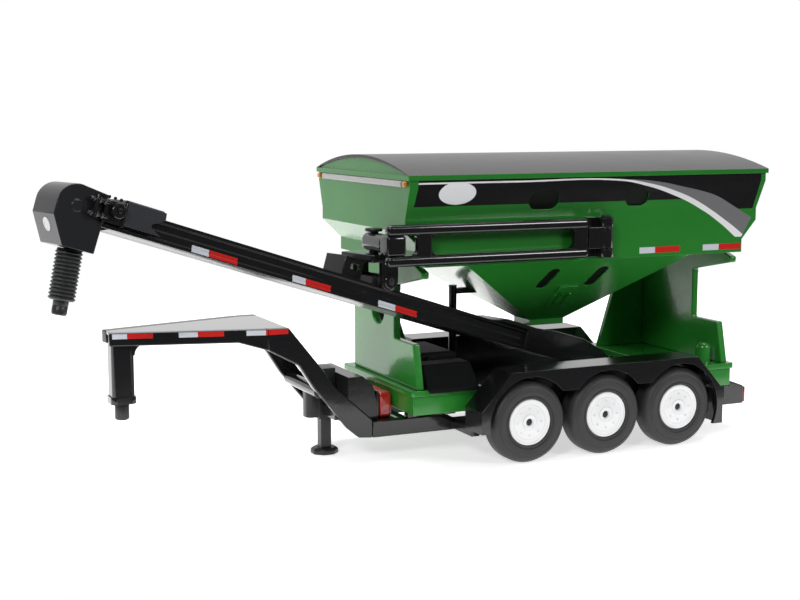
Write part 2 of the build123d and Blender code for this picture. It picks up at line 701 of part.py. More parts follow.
def fenders():
    strip, side = right_fender()
    fender = strip + side
    add("fender_right", fender)
    add("fender_left", mirrored(fender))
    arms = []
    for x in BRACKET_X:
        outer = FENDER_INNER_Y + FENDER_SHEET
        post = block(x - 0.7, x + 0.7, FENDER_INNER_Y, outer, 3.9, CARRIER_TOP)
        spar = block(x - 0.7, x + 0.7, RAIL_OUTER_Y, FENDER_INNER_Y, 3.9, 5.0)
        whole = post + spar
        arms += [whole, mirrored(whole)]
    add("fender_brackets", *arms)


# ---- rear bumper -------------------------------------------------------------------
def bumper():
    outline = [
        (BUMPER_FRONT_X, BUMPER_BOTTOM),
        (BUMPER_REAR_X, BUMPER_BOTTOM),
        (BUMPER_REAR_X, BUMPER_TOP - 1.1),
        (REAR_SKIRT_X[1] + 0.1, BUMPER_TOP),
        (REAR_SKIRT_X[1] + 0.1, SKIRT_BOTTOM - 0.1),
        (BUMPER_FRONT_X, SKIRT_BOTTOM - 0.1),
    ]
    add("rear_bumper", side_plate(outline, -BUMPER_HALF, BUMPER_HALF))
    lenses = []
    for y in (-9.6, 9.6):
        lens = block(
            BUMPER_REAR_X, BUMPER_REAR_X + LENS_THICKNESS, y - 2.9, y + 2.9, 4.2, BUMPER_TOP - 1.3
        )
        lenses.append(fillet(lens.edges().group_by(Axis.X)[-1], 0.25))
    add("tail_lamps", *lenses)


# ---- swing arm ---------------------------------------------------------------------
def hinge_bracket():
    base = block(-2.3, 2.4, -SILL_HALF, -SILL_HALF - 0.4, ARM_BOTTOM, ARM_TOP)
    shape = base
    for z0 in (ARM_BOTTOM, ARM_TOP - LUG_THICKNESS):
        z1 = z0 + LUG_THICKNESS
        shape += block(HINGE_X - LUG_RADIUS, HINGE_X + LUG_RADIUS, HINGE_Y, -SILL_HALF, z0, z1)
        shape += rod_z(HINGE_X, HINGE_Y, LUG_RADIUS, z0, z1)
    return shape - rod_z(HINGE_X, HINGE_Y, HINGE_PIN_RADIUS, ARM_BOTTOM - 1, ARM_TOP + 1)


def arm():
    add("arm_bracket", hinge_bracket())
    pin = rod_z(HINGE_X, HINGE_Y, HINGE_PIN_RADIUS, ARM_BOTTOM - 0.1, ARM_TOP)
    pin += rod_z(HINGE_X, HINGE_Y, HINGE_PIN_RADIUS + 0.3, ARM_TOP, ARM_TOP + 0.35)
    add("arm_pin", pin)
    low = ARM_BOTTOM + LUG_THICKNESS + LUG_GAP
    high = ARM_TOP - LUG_THICKNESS - LUG_GAP
    barrel = rod_z(HINGE_X, HINGE_Y, HINGE_BARREL_RADIUS, low, high)
    barrel += block(ARM_REAR_X, HINGE_X, HINGE_Y - 0.55, HINGE_Y + 0.55, low, high)
    barrel -= rod_z(HINGE_X, HINGE_Y, HINGE_PIN_RADIUS + HINGE_CLEARANCE, 0, 60)
    add("arm_barrel", barrel)
    inner_top = ARM_TOP - ARM_RAIL
    inner_low = ARM_BOTTOM + ARM_RAIL
    rails = []
    for z0 in (inner_top, ARM_BOTTOM):
        rail = block(ARM_FRONT_X, ARM_REAR_X, ARM_OUTER_Y, ARM_INNER_Y, z0, z0 + ARM_RAIL)
        nose = rail.edges().filter_by(Axis.Z).group_by(Axis.X)[0]
        rail = chamfer(nose.group_by(Axis.Y)[0], 0.6)
        long_edges = rail.edges().filter_by(Axis.X).group_by(Axis.Y)[0]
        rails.append(fillet(long_edges, 0.3))
    add("arm_rails", *rails)
    posts = []
    for x0, x1 in ARM_POST_X:
        posts.append(block(x0, x1, ARM_OUTER_Y + 0.3, ARM_INNER_Y - 0.1, inner_low, inner_top))
    add("arm_posts", *posts)
    bar = block(
        ARM_FRONT_X, CROSS_BLOCK_REAR_X, ARM_OUTER_Y + 0.2, CROSS_BLOCK_INNER_Y, inner_low, inner_top
    )
    bar = fillet(bar.edges().filter_by(Axis.Z), 0.35)
    bar -= rod_z(PIVOT_X, PIVOT_Y, SWIVEL_PIN_RADIUS + SWIVEL_CLEARANCE, 0, 60)
    add("arm_cross_block", bar)


# ---- conveyor pivots ---------------------------------------------------------------
def turned(shape):
    """From the swivel's axes to the trailer's: turned about the upright pin only."""
    return Pos(PIVOT_X, PIVOT_Y, PIVOT_Z) * (Rot(0, 0, CONVEYOR_YAW) * shape)


def conveyor_place(shape):
    """From the conveyor's axes to the trailer's: tipped, then turned, at the pivot."""
    tipped = Rot(0, CONVEYOR_TILT, 0) * shape
    return turned(tipped)


def pivots():
    block_low = ARM_BOTTOM + ARM_RAIL
    yoke_top = block_low - SWIVEL_GAP - PIVOT_Z
    gap = TROUGH_HALF + CHEEK_GAP
    wide = gap + CHEEK_THICKNESS
    yoke = block(-3.2, 2.7, -wide, wide, yoke_top - 1.1, yoke_top)
    yoke = fillet(yoke.edges().filter_by(Axis.Z), 0.5)
    for side in (-1, 1):
        y0 = side * gap
        y1 = side * wide
        yoke += block(-BOSS_RADIUS, BOSS_RADIUS, y0, y1, 0, yoke_top - 1.0)
        yoke += rod_y(0, 0, BOSS_RADIUS, y0, y1)
        yoke += rod_y(0, 0, BOSS_RADIUS * 0.72, y1, y1 + side * 0.25)
    yoke -= rod_y(0, 0, TILT_PIN_RADIUS, -wide - 1, wide + 1)
    yoke -= rod_z(0, 0, SWIVEL_PIN_RADIUS, -1, yoke_top + 1)
    add("swivel_yoke", turned(yoke))
    head = 0.45
    top = ARM_TOP - ARM_RAIL - PIVOT_Z + SWIVEL_GAP
    pin = rod_z(0, 0, SWIVEL_PIN_RADIUS, yoke_top - 1.1, top)
    pin += rod_z(0, 0, SWIVEL_PIN_RADIUS + 0.6, top, top + head)
    add("swivel_pin", turned(pin))
    end = wide + 0.35
    add("tilt_pin", turned(rod_y(0, 0, TILT_PIN_RADIUS, -end, end)))


# ---- conveyor ----------------------------------------------------------------------
def trough_section():
    """Half of the trough's outline, mirrored to the other side."""
    h = TROUGH_HALF
    w = TROUGH_HALF - WEB_INSET
    t = TROUGH_TOP
    b = TROUGH_BOTTOM
    mid = (t + b) / 2
    right = [
        (h, t),
        (h, t - FLANGE),
        (w, t - FLANGE - 0.15),
        (w, mid + 0.1),
        (w + 0.12, mid - 0.1),
        (w + 0.12, b + FLANGE + 0.15),
        (h, b + FLANGE),
        (h, b),
    ]
    left = [(-y, z) for y, z in reversed(right)]
    return right + left


def conveyor():
    trough = cross_plate(trough_section(), TROUGH_HEAD_X, TROUGH_TAIL_X)
    bottom = TROUGH_BOTTOM
    pan = [(-PAN_HALF, bottom), (0, bottom - PAN_DROP), (PAN_HALF, bottom)]
    add("belt_pan", conveyor_place(cross_plate(pan, TROUGH_HEAD_X + 1.2, TROUGH_TAIL_X)))
    lug = block(-1.3, 1.3, -TROUGH_HALF, TROUGH_HALF, TROUGH_TOP, 0.2)
    lug += rod_y(0, 0, 0.95, -TROUGH_HALF, TROUGH_HALF)
    trough = trough + lug - rod_y(0, 0, TILT_PIN_RADIUS + TILT_CLEARANCE, -9, 9)
    add("conveyor_trough", conveyor_place(trough))
    guard = block(-7.7, -4.2, -2.4, 2.4, TROUGH_TOP, 1.9)
    guard -= block(-7.1, -4.0, -1.9, 1.9, TROUGH_TOP - 1, 1.35)
    guard -= block(-6.4, -4.9, -3, 3, 0.2, 1.0)
    add("lift_bracket", conveyor_place(guard))
    head()
    hood()
    spout()


def head():
    cx, cz = HEAD_CENTRE
    r = HEAD_RADIUS
    lower = [(cx - r, cz), (cx - r, -4.1), (-50.5, -7.6), (-46.1, -7.6), (TROUGH_HEAD_X, -4.4)]
    upper = [(TROUGH_HEAD_X, cz + r - 0.35), (cx, cz + r)]
    housing = side_plate(lower + upper, -HEAD_HALF, HEAD_HALF)
    housing += rod_y(cx, cz, r, -HEAD_HALF, HEAD_HALF)
    housing += rod_y(cx, cz, 0.75, -HEAD_HALF - 0.2, -HEAD_HALF)
    add("head_housing", conveyor_place(housing))
    cover = block(-43.4, -37.8, -TROUGH_HALF - 0.65, TROUGH_HALF + 0.35, -3.2, 0.1)
    cover = fillet(cover.edges().filter_by(Axis.Y).group_by(Axis.Z)[-1], 0.4)
    cover -= block(-60, 0, -TROUGH_HALF, TROUGH_HALF, -9, TROUGH_TOP)
    add("head_cover", conveyor_place(cover))
    side = TROUGH_HALF
    motor = rod_y(-44.7, -1.6, 1.05, -side - 1.5, -side)
    motor = fillet(motor.edges().group_by(Axis.Y)[0], 0.25)
    add("drive_motor", conveyor_place(motor))
    plate = block(-48.1, -47.7, -HEAD_HALF - 1.0, -HEAD_HALF, -3.2, -0.3)
    bolt = Pos(-46.9, -HEAD_HALF - 0.5, -2.7) * (Rot(0, 90, 0) * Cylinder(0.28, 1.8))
    add("belt_tensioner", conveyor_place(plate + bolt))


def hood():
    outline = [
        (22.5, TROUGH_TOP),
        (25.7, -0.1),
        (32.0, -0.15),
        (36.6, 0.3),
        (43.2, 0.45),
        (48.2, -0.5),
        (50.8, -1.6),
        (50.4, -2.1),
        (42.6, -3.4),
        (38.2, TROUGH_BOTTOM),
        (TROUGH_TAIL_X, TROUGH_BOTTOM),
        (TROUGH_TAIL_X, TROUGH_TOP),
    ]
    shape = side_plate(outline, -HOOD_HALF, HOOD_HALF)
    shape -= block(32.5, 42.0, -HOOD_HALF + 0.7, HOOD_HALF - 0.7, -2.6, 2)
    add("inlet_hood", conveyor_place(shape))


def spout_profile():
    """Half of the ribbed sleeve, from its root down: (radius, distance)."""
    points = [(0, 0), (SPOUT_RADIUS, 0)]
    depth = 0.25
    for _ in range(SPOUT_RIBS):
        points.append((SPOUT_RADIUS, depth))
        points.append((SPOUT_ROOT_RADIUS, depth + SPOUT_PITCH * 0.45))
        points.append((SPOUT_RADIUS, depth + SPOUT_PITCH * 0.9))
        depth += SPOUT_PITCH
    points.append((SPOUT_RADIUS, depth))
    points.append((0, depth))
    return points, depth


def spout():
    points, depth = spout_profile()
    wire = Wire.make_polygon([Vector(r, 0, -d) for r, d in points])
    sleeve = revolve(Face(wire), axis=Axis.Z)
    x, z = SPOUT_TOP
    place = Pos(x, 0, z) * Rot(0, -SPOUT_LEAN, 0)
    sleeve = place * sleeve
    add("spout_bellows", conveyor_place(sleeve - block(-60, -40, -5, 5, -7.6, 0)))
    tip = rod_z(0, 0, SPOUT_TIP_RADIUS, -depth - SPOUT_TIP_LENGTH, -depth)
    tip = chamfer(tip.edges().group_by(Axis.Z)[0], 0.25)
    add("spout_tip", conveyor_place(place * tip))


def build():
    running_gear()
    chassis()
    gooseneck()
    jack()
    hopper()
    pedestals()
    machinery()
    fenders()
    bumper()
    arm()
    pivots()
    conveyor()


def frame_shift():
    """Middle of everything in X and Y, so the origin is under the box's middle."""
    boxes = [shape.bounding_box() for shape in PARTS.values()]
    x0 = min(box.min.X for box in boxes)
    x1 = max(box.max.X for box in boxes)
    y0 = min(box.min.Y for box in boxes)
    y1 = max(box.max.Y for box in boxes)
    return -(x0 + x1) / 2, -(y0 + y1) / 2


build()
FRAME_X, FRAME_Y = frame_shift()

if __name__ == "__main__":
    for node_name, node_shape in PARTS.items():
        moved = Pos(FRAME_X, FRAME_Y, 0) * node_shape
        export_step(moved, "parts/" + node_name + ".step")
    print(len(PARTS), "nodes; shift", round(FRAME_X, 4), round(FRAME_Y, 4))
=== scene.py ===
import json
import math

import bmesh
import bpy
from mathutils import Matrix, Vector


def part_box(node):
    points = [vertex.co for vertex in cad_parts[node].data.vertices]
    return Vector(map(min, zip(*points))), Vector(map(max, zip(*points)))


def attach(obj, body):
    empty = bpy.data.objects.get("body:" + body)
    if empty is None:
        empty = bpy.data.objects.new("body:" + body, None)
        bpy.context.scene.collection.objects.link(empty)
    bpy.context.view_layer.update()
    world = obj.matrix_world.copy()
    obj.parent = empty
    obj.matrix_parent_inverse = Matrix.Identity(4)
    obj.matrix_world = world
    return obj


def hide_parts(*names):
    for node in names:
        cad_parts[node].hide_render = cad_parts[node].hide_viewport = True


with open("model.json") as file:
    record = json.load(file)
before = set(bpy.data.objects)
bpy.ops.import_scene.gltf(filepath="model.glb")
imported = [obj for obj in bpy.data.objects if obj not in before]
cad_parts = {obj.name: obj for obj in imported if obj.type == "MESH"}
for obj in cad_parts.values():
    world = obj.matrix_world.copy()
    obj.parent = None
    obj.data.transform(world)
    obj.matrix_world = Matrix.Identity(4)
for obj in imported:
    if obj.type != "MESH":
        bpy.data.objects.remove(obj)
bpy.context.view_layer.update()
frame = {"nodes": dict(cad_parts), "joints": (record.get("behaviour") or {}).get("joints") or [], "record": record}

# Lengths in the calls below are the maker's millimetres, in the trailer's own axes:
# x to the rear from the middle axle, y from the centre plane, z up from the ground.
MM = 0.001
JOINTS = {joint["name"]: joint for joint in frame["joints"]}
BODY_OF = {n: b for b, ns in frame["record"]["behaviour"]["bodies"].items() for n in ns}
AXLE = Vector(JOINTS["axle_middle_roll"]["pos_m"])
START = Vector((AXLE.x, AXLE.y, 0.0))
PIVOT = Vector(JOINTS["conveyor_tilt"]["pos_m"])
TILT_AXIS = Vector(JOINTS["conveyor_tilt"]["axis"])
YAW = math.atan2(-TILT_AXIS.x, TILT_AXIS.y)
TILT = math.radians(17.7)  # the conveyor's rise towards its head, as it is stowed
TURN = Matrix.Rotation(YAW, 4, "Z") @ Matrix.Rotation(TILT, 4, "Y")
TO_METRES = Matrix.Diagonal((MM, MM, MM, 1.0))
TRAILER = Matrix.Translation(START) @ TO_METRES
CONVEYOR = Matrix.Translation(PIVOT) @ TURN @ TO_METRES
AXLES = ("front", "middle", "rear")


def axle_x(name):
    """Where an axle stands along the trailer."""
    return (JOINTS["axle_%s_roll" % name]["pos_m"][0] - START.x) / MM


def placed(name, data):
    """A new object for a mesh, a lamp or a lens, in the scene."""
    made = bpy.data.objects.new(name, data)
    bpy.context.scene.collection.objects.link(made)
    return made


# ---- shader graphs -----------------------------------------------------------------
class Graph:
    """Adds shader nodes to one tree and joins them."""

    def __init__(self, tree):
        self.tree = tree

    def node(self, kind, inputs=None, **settings):
        made = self.tree.nodes.new(kind)
        for name, value in settings.items():
            setattr(made, name, value)
        for name, value in (inputs or {}).items():
            self.feed(made.inputs[name], value)
        return made

    def feed(self, socket, value):
        if isinstance(value, bpy.types.NodeSocket):
            self.tree.links.new(value, socket)
        else:
            socket.default_value = value

    def math(self, operation, *values, clamp=False):
        made = self.node("ShaderNodeMath", operation=operation, use_clamp=clamp)
        for socket, value in zip(made.inputs, values):
            self.feed(socket, value)
        return made.outputs[0]

    def step(self, value, edge, soft=0.02):
        """0 below the edge and 1 above it, turning over a short way."""
        gap = self.math("SUBTRACT", value, edge)
        return self.math("MULTIPLY_ADD", gap, 0.5 / soft, 0.5, clamp=True)

    def between(self, value, low, high):
        """1 between two edges, which may be sockets, and 0 outside them."""
        below = self.math("SUBTRACT", 1.0, self.step(value, high), clamp=True)
        return self.math("MULTIPLY", self.step(value, low), below)

    def both(self, *masks):
        out = masks[0]
        for mask in masks[1:]:
            out = self.math("MULTIPLY", out, mask)
        return out

    def either(self, *masks):
        out = masks[0]
        for mask in masks[1:]:
            out = self.math("MAXIMUM", out, mask)
        return out

    def tint(self, mask, under, over):
        made = self.node("ShaderNodeMix", data_type="RGBA")
        self.feed(made.inputs[0], mask)
        self.feed(made.inputs[6], under)
        self.feed(made.inputs[7], over)
        return made.outputs[2]

    def mapped(self, matrix):
        """Object coordinates turned into the millimetres of a matrix: x, y, z sockets."""
        place, turn, size = matrix.decompose()
        coords = self.node("ShaderNodeTexCoord")
        mapping = self.node("ShaderNodeMapping", vector_type="TEXTURE")
        self.feed(mapping.inputs["Vector"], coords.outputs["Object"])
        mapping.inputs["Location"].default_value = place
        mapping.inputs["Rotation"].default_value = turn.to_euler()
        mapping.inputs["Scale"].default_value = size
        parts = self.node("ShaderNodeSeparateXYZ", {"Vector": mapping.outputs[0]})
        return parts.outputs

    def leaning(self, z, foot, lean):
        """Where a leaning line stands at a height, from one (x, z) point on it."""
        return self.math("MULTIPLY_ADD", self.math("SUBTRACT", z, foot[1]), lean, foot[0])

    def curve(self, value, points, low, high, floor, ceiling):
        """A line through (position, height) points, as a height for any position."""
        share = self.math("DIVIDE", self.math("SUBTRACT", value, low), high - low, clamp=True)
        made = self.node("ShaderNodeFloatCurve", {"Value": share})
        line = made.mapping.curves[0]
        placed = [((x - low) / (high - low), (z - floor) / (ceiling - floor)) for x, z in points]
        line.points[0].location = placed[0]
        line.points[1].location = placed[-1]
        for spot in placed[1:-1]:
            line.points.new(*spot)
        made.mapping.update()
        return self.math("MULTIPLY_ADD", made.outputs[0], ceiling - floor, floor)


def new_group(name, inputs, outputs):
    """A shader node group with its sockets, ready for its nodes."""
    tree = bpy.data.node_groups.new(name, "ShaderNodeTree")
    for label, kind, value in inputs:
        socket = tree.interface.new_socket(label, in_out="INPUT", socket_type=kind)
        socket.default_value = value
    for label, kind in outputs:
        tree.interface.new_socket(label, in_out="OUTPUT", socket_type=kind)
    graph = Graph(tree)
    return graph, graph.node("NodeGroupInput"), graph.node("NodeGroupOutput")


def sprayed_skin():
    """Orange peel and a slow change of tone, as on sprayed or moulded gloss."""
    number = "NodeSocketFloat"
    graph, given, out = new_group(
        "sprayed_skin",
        [("Peel Scale", number, 1.0), ("Peel Depth", number, 0.1), ("Grit", number, 0.0)],
        [("Normal", "NodeSocketVector"), ("Tone", number)],
    )
    spot = graph.node("ShaderNodeTexCoord").outputs["Object"]
    peel = graph.node("ShaderNodeTexNoise", {"Vector": spot, "Detail": 2.0, "Roughness": 0.45})
    graph.feed(peel.inputs["Scale"], graph.math("MULTIPLY", given.outputs["Peel Scale"], 900.0))
    grit = graph.node("ShaderNodeTexNoise", {"Vector": spot, "Detail": 3.0, "Roughness": 0.7})
    graph.feed(grit.inputs["Scale"], graph.math("MULTIPLY", given.outputs["Peel Scale"], 6500.0))
    height = graph.math("MULTIPLY", peel.outputs[0], given.outputs["Peel Depth"])
    height = graph.math(
        "ADD", height, graph.math("MULTIPLY", grit.outputs[0], given.outputs["Grit"])
    )
    bump = graph.node("ShaderNodeBump", {"Strength": 1.0, "Distance": 0.0001, "Height": height})
    tone = graph.node(
        "ShaderNodeTexNoise", {"Vector": spot, "Scale": 130.0, "Detail": 4.0, "Roughness": 0.6}
    )
    graph.feed(out.inputs["Normal"], bump.outputs[0])
    graph.feed(out.inputs["Tone"], tone.outputs[0])
    return graph.tree


def worn_and_highlit_edge():
    """Thin paint along edges, broken up so that it isn't an even line; the lighter edge tint is also a painted
    highlight where rounded gloss edges catch the light.
    """
    number = "NodeSocketFloat"
    graph, given, out = new_group(
        "worn_and_highlit_edge", [("Radius", number, 0.0002), ("Wear and Highlight", number, 0.5)], [("Mask", number)]
    )
    rounded = graph.node("ShaderNodeBevel", {"Radius": given.outputs["Radius"]}, samples=4)
    flat = graph.node("ShaderNodeNewGeometry")
    dot = graph.node("ShaderNodeVectorMath", operation="DOT_PRODUCT")
    graph.feed(dot.inputs[0], rounded.outputs[0])
    graph.feed(dot.inputs[1], flat.outputs["Normal"])
    sharp = graph.math("SUBTRACT", 1.0, dot.outputs["Value"], clamp=True)
    sharp = graph.math("MULTIPLY", sharp, 5.0, clamp=True)
    spot = graph.node("ShaderNodeTexCoord").outputs["Object"]
    patches = graph.node(
        "ShaderNodeTexNoise", {"Vector": spot, "Scale": 420.0, "Detail": 5.0, "Roughness": 0.7}
    )
    broken = graph.math("MULTIPLY_ADD", patches.outputs[0], 2.2, -0.45, clamp=True)
    mask = graph.both(sharp, broken, given.outputs["Wear and Highlight"])
    graph.feed(out.inputs["Mask"], mask)
    return graph.tree


def shelf_dust():
    """Fine dust on what faces up, and hairline rubs that change only the gloss."""
    number = "NodeSocketFloat"
    graph, given, out = new_group(
        "shelf_dust",
        [("Dust", number, 0.3), ("Rubs", number, 0.3)],
        [("Dust", number), ("Rubs", number)],
    )
    coords = graph.node("ShaderNodeTexCoord")
    up = graph.node("ShaderNodeSeparateXYZ", {"Vector": coords.outputs["Normal"]})
    facing = graph.math("MULTIPLY_ADD", up.outputs["Z"], 1.4, -0.4, clamp=True)
    specks = graph.node(
        "ShaderNodeTexNoise",
        {"Vector": coords.outputs["Object"], "Scale": 2600.0, "Detail": 6.0, "Roughness": 0.8},
    )
    bright = graph.math("MULTIPLY_ADD", specks.outputs[0], 7.0, -4.1, clamp=True)
    graph.feed(out.inputs["Dust"], graph.both(facing, bright, given.outputs["Dust"]))
    stretched = graph.node(
        "ShaderNodeMapping", {"Vector": coords.outputs["Object"]}, vector_type="POINT"
    )
    stretched.inputs["Scale"].default_value = (160.0, 2400.0, 1300.0)
    stretched.inputs["Rotation"].default_value = (0.5, 0.2, 0.15)
    hair = graph.node(
        "ShaderNodeTexNoise", {"Vector": stretched.outputs[0], "Scale": 1.0, "Detail": 4.0}
    )
    lines = graph.math("MULTIPLY_ADD", hair.outputs[0], 6.0, -3.4, clamp=True)
    graph.feed(out.inputs["Rubs"], graph.math("MULTIPLY", lines, given.outputs["Rubs"]))
    return graph.tree


SKIN = sprayed_skin()
EDGE = worn_and_highlit_edge()
SHELF = shelf_dust()

WEAR_AND_HIGHLIGHT_RADIUS = 0.16 * MM
DUST_COLOUR = (0.42, 0.42, 0.40, 1.0)
TAPE_WHITE = (0.66, 0.69, 0.75, 1.0)
TAPE_RED = (0.62, 0.018, 0.015, 1.0)


def finish_of(
    name, colour, roughness, edge_wear_and_highlight_colour=None, wear_and_highlight=0.0, peel=0.4, peel_scale=1.0, grit=0.0,
    dust=0.25, rubs=0.3, coat=0.0, metallic=0.0, tone=0.12, marks=None, ior=1.5,
):
    """One material: base tone, edges tinted for thin paint and as a painted highlight, printed marks, dust, rubs
    and peel.
    """
    material = bpy.data.materials.new(name)
    material.use_nodes = True
    graph = Graph(material.node_tree)
    shader = material.node_tree.nodes["Principled BSDF"]
    shader.inputs["Metallic"].default_value = metallic
    shader.inputs["Coat Weight"].default_value = coat
    shader.inputs["Coat Roughness"].default_value = 0.04
    shader.inputs["IOR"].default_value = ior
    full = (*colour, 1.0)
    skin = graph.node(
        "ShaderNodeGroup", {"Peel Scale": peel_scale, "Peel Depth": peel, "Grit": grit},
        node_tree=SKIN,
    )
    deep = (*[c * (1.0 - tone) for c in colour], 1.0)
    base = graph.tint(skin.outputs["Tone"], deep, tuple(min(1.0, c * (1 + tone)) for c in full))
    # Edge tint: thin paint, and a painted highlight where rounded edges would catch the light.
    if wear_and_highlight:
        edge = graph.node(
            "ShaderNodeGroup", {"Radius": WEAR_AND_HIGHLIGHT_RADIUS, "Wear and Highlight": wear_and_highlight}, node_tree=EDGE
        )
        base = graph.tint(edge.outputs["Mask"], base, (*edge_wear_and_highlight_colour, 1.0))
    if marks:
        base = marks(graph, base)
    shelf = graph.node("ShaderNodeGroup", {"Dust": dust, "Rubs": rubs}, node_tree=SHELF)
    base = graph.tint(shelf.outputs["Dust"], base, DUST_COLOUR)
    graph.feed(shader.inputs["Base Color"], base)
    rough = graph.math("MULTIPLY_ADD", shelf.outputs["Rubs"], 0.22, roughness)
    rough = graph.math("MULTIPLY_ADD", skin.outputs["Tone"], 0.06, rough)
    rough = graph.math("MULTIPLY_ADD", shelf.outputs["Dust"], 0.5, rough, clamp=True)
    graph.feed(shader.inputs["Roughness"], rough)
    graph.feed(shader.inputs["Normal"], skin.outputs["Normal"])
    return material


# ---- printed marks -----------------------------------------------------------------
WAIST_Z, RIM_LIP_Z = 36.86, 41.3
SIDE_Y, FLARE = 15.98, 1.52
SURFACE_DEPTH = 0.14
FRONT_FOOT, FRONT_LEAN = (-31.34, 38.57), 0.1
REAR_FOOT, REAR_LEAN, REAR_TUCK = (29.22, 35.63), 0.06, 0.6
BAND_LOW, BAND_TOP = 38.65, 42.45
GREY_FLOOR, SWEEP_FLOOR, GREY_START = 36.8, 32.3, 4.5
BADGE_SPOT, BADGE_HALF = (-24.65, 40.5), (3.0, 1.65)
SILL_Z = (30.35, 31.3)
BAND_BLACK = (0.007, 0.007, 0.008, 1.0)
SWEEP_GREY = (0.19, 0.19, 0.20, 1.0)
LINE_WHITE = (0.92, 0.92, 0.92, 1.0)
BADGE_WHITE = (0.93, 0.94, 0.96, 1.0)
# Heights of the sweep's lines along the hopper, as (x, z).
WHITE_HIGH = [
    (-32, 42.12), (-15, 42.15), (2.8, 42.07), (8.05, 41.35), (13.79, 39.9),
    (19.29, 37.72), (23.97, 35.05), (27.54, 32.6), (31, 29.6),
]
WHITE_LOW = [
    (-32, 41.88), (-15, 41.9), (2.8, 41.8), (7.56, 40.98), (13.35, 39.3),
    (18.85, 37.05), (22.72, 34.75), (26.09, 32.2), (31, 28.2),
]
GREY_HIGH = [
    (-32, 42.12), (-15, 42.15), (4.5, 41.98), (9.22, 41.62), (14.79, 40.63),
    (20.67, 39.32), (24.23, 37.84), (29.03, 35.38), (31, 34.2),
]
CURVE_SPAN = (-32.0, 31.0, 28.0, 43.0)
# Tape is a white run and a red run, each from and to along x.
SILL_TAPE = [((7.7, 10.6), (10.6, 15.3)), ((19.7, 22.8), (22.8, 27.15))]
NECK_TAPE = [((-71.7, -69.7), (-69.7, -66.2)), ((-62.7, -60.1), (-60.1, -56.5)),
             ((-53.4, -50.7), (-50.7, -47.3))]
NECK_TAPE_Z = (20.25, 20.98)
CONVEYOR_TAPE = [((-32.7, -30.0), (-30.0, -25.4)), ((-16.1, -13.8), (-13.8, -9.3)),
                 ((-0.4, 2.9), (2.9, 7.2))]
CONVEYOR_TAPE_Z = (-3.9, -3.0)
TROUGH_SIDE_Y = 2.6
RING_RADII = ((1.14, 1.22), (2.62, 2.68))
RING_STRENGTH = 0.35
RING_GREY = (0.3, 0.3, 0.3, 1)


def tape(graph, base, x, mask, runs):
    """White and red reflecting strips along x, inside a mask."""
    for white, red in runs:
        base = graph.tint(graph.both(mask, graph.between(x, *white)), base, TAPE_WHITE)
        base = graph.tint(graph.both(mask, graph.between(x, *red)), base, TAPE_RED)
    return base


def hopper_marks(graph, base):
    """The black band, the grey sweep with its white line, the oval and the sill's tape."""
    x, y, z = graph.mapped(TRAILER)
    out = graph.math("ABSOLUTE", y)
    slope = graph.math("SUBTRACT", z, WAIST_Z)
    slope = graph.math("MULTIPLY", slope, FLARE / (RIM_LIP_Z - WAIST_Z))
    face = graph.math("MINIMUM", graph.math("MAXIMUM", slope, 0.0), FLARE)
    side = graph.step(out, graph.math("ADD", face, SIDE_Y - SURFACE_DEPTH), 0.03)
    front = graph.step(graph.math("SUBTRACT", x, graph.leaning(z, FRONT_FOOT, FRONT_LEAN)), 0.0)
    rear_line = graph.math(
        "MINIMUM", graph.leaning(z, REAR_FOOT, REAR_LEAN), graph.leaning(z, REAR_FOOT, REAR_TUCK)
    )
    rear = graph.step(graph.math("SUBTRACT", rear_line, x), 0.0)
    panel = graph.both(side, front, rear, graph.step(BAND_TOP, z))
    white_high = graph.curve(x, WHITE_HIGH, *CURVE_SPAN)
    white_low = graph.curve(x, WHITE_LOW, *CURVE_SPAN)
    grey_high = graph.curve(x, GREY_HIGH, *CURVE_SPAN)
    over_grey = graph.step(graph.math("SUBTRACT", z, grey_high), 0.0)
    black = graph.either(
        graph.step(z, BAND_LOW), graph.both(over_grey, graph.step(z, GREY_FLOOR))
    )
    base = graph.tint(graph.both(panel, black), base, BAND_BLACK)
    sweep = graph.both(panel, graph.step(z, SWEEP_FLOOR))
    grey = graph.both(sweep, graph.between(z, white_high, grey_high), graph.step(x, GREY_START))
    base = graph.tint(grey, base, SWEEP_GREY)
    white = graph.both(sweep, graph.between(z, white_low, white_high))
    base = graph.tint(white, base, LINE_WHITE)
    along = graph.math("DIVIDE", graph.math("SUBTRACT", x, BADGE_SPOT[0]), BADGE_HALF[0])
    up = graph.math("DIVIDE", graph.math("SUBTRACT", z, BADGE_SPOT[1]), BADGE_HALF[1])
    reach = graph.math("ADD", graph.math("MULTIPLY", along, along), graph.math("MULTIPLY", up, up))
    base = graph.tint(graph.both(side, graph.step(1.0, reach)), base, BADGE_WHITE)
    sill = graph.both(side, graph.between(z, *SILL_Z))
    return tape(graph, base, x, sill, SILL_TAPE)


def neck_marks(graph, base):
    """Tape on the outward faces of the gooseneck's beams."""
    x, y, z = graph.mapped(TRAILER)
    facing = graph.node("ShaderNodeSeparateXYZ")
    graph.feed(facing.inputs[0], graph.node("ShaderNodeTexCoord").outputs["Normal"])
    outward = graph.math("MULTIPLY", facing.outputs["Y"], graph.math("SIGN", y))
    mask = graph.both(graph.step(outward, 0.5), graph.between(z, *NECK_TAPE_Z))
    return tape(graph, base, x, mask, NECK_TAPE)


def conveyor_marks(graph, base):
    """Tape on both sides of the conveyor's trough."""
    x, y, z = graph.mapped(CONVEYOR)
    side = graph.step(graph.math("ABSOLUTE", y), TROUGH_SIDE_Y)
    mask = graph.both(side, graph.between(z, *CONVEYOR_TAPE_Z))
    return tape(graph, base, x, mask, CONVEYOR_TAPE)


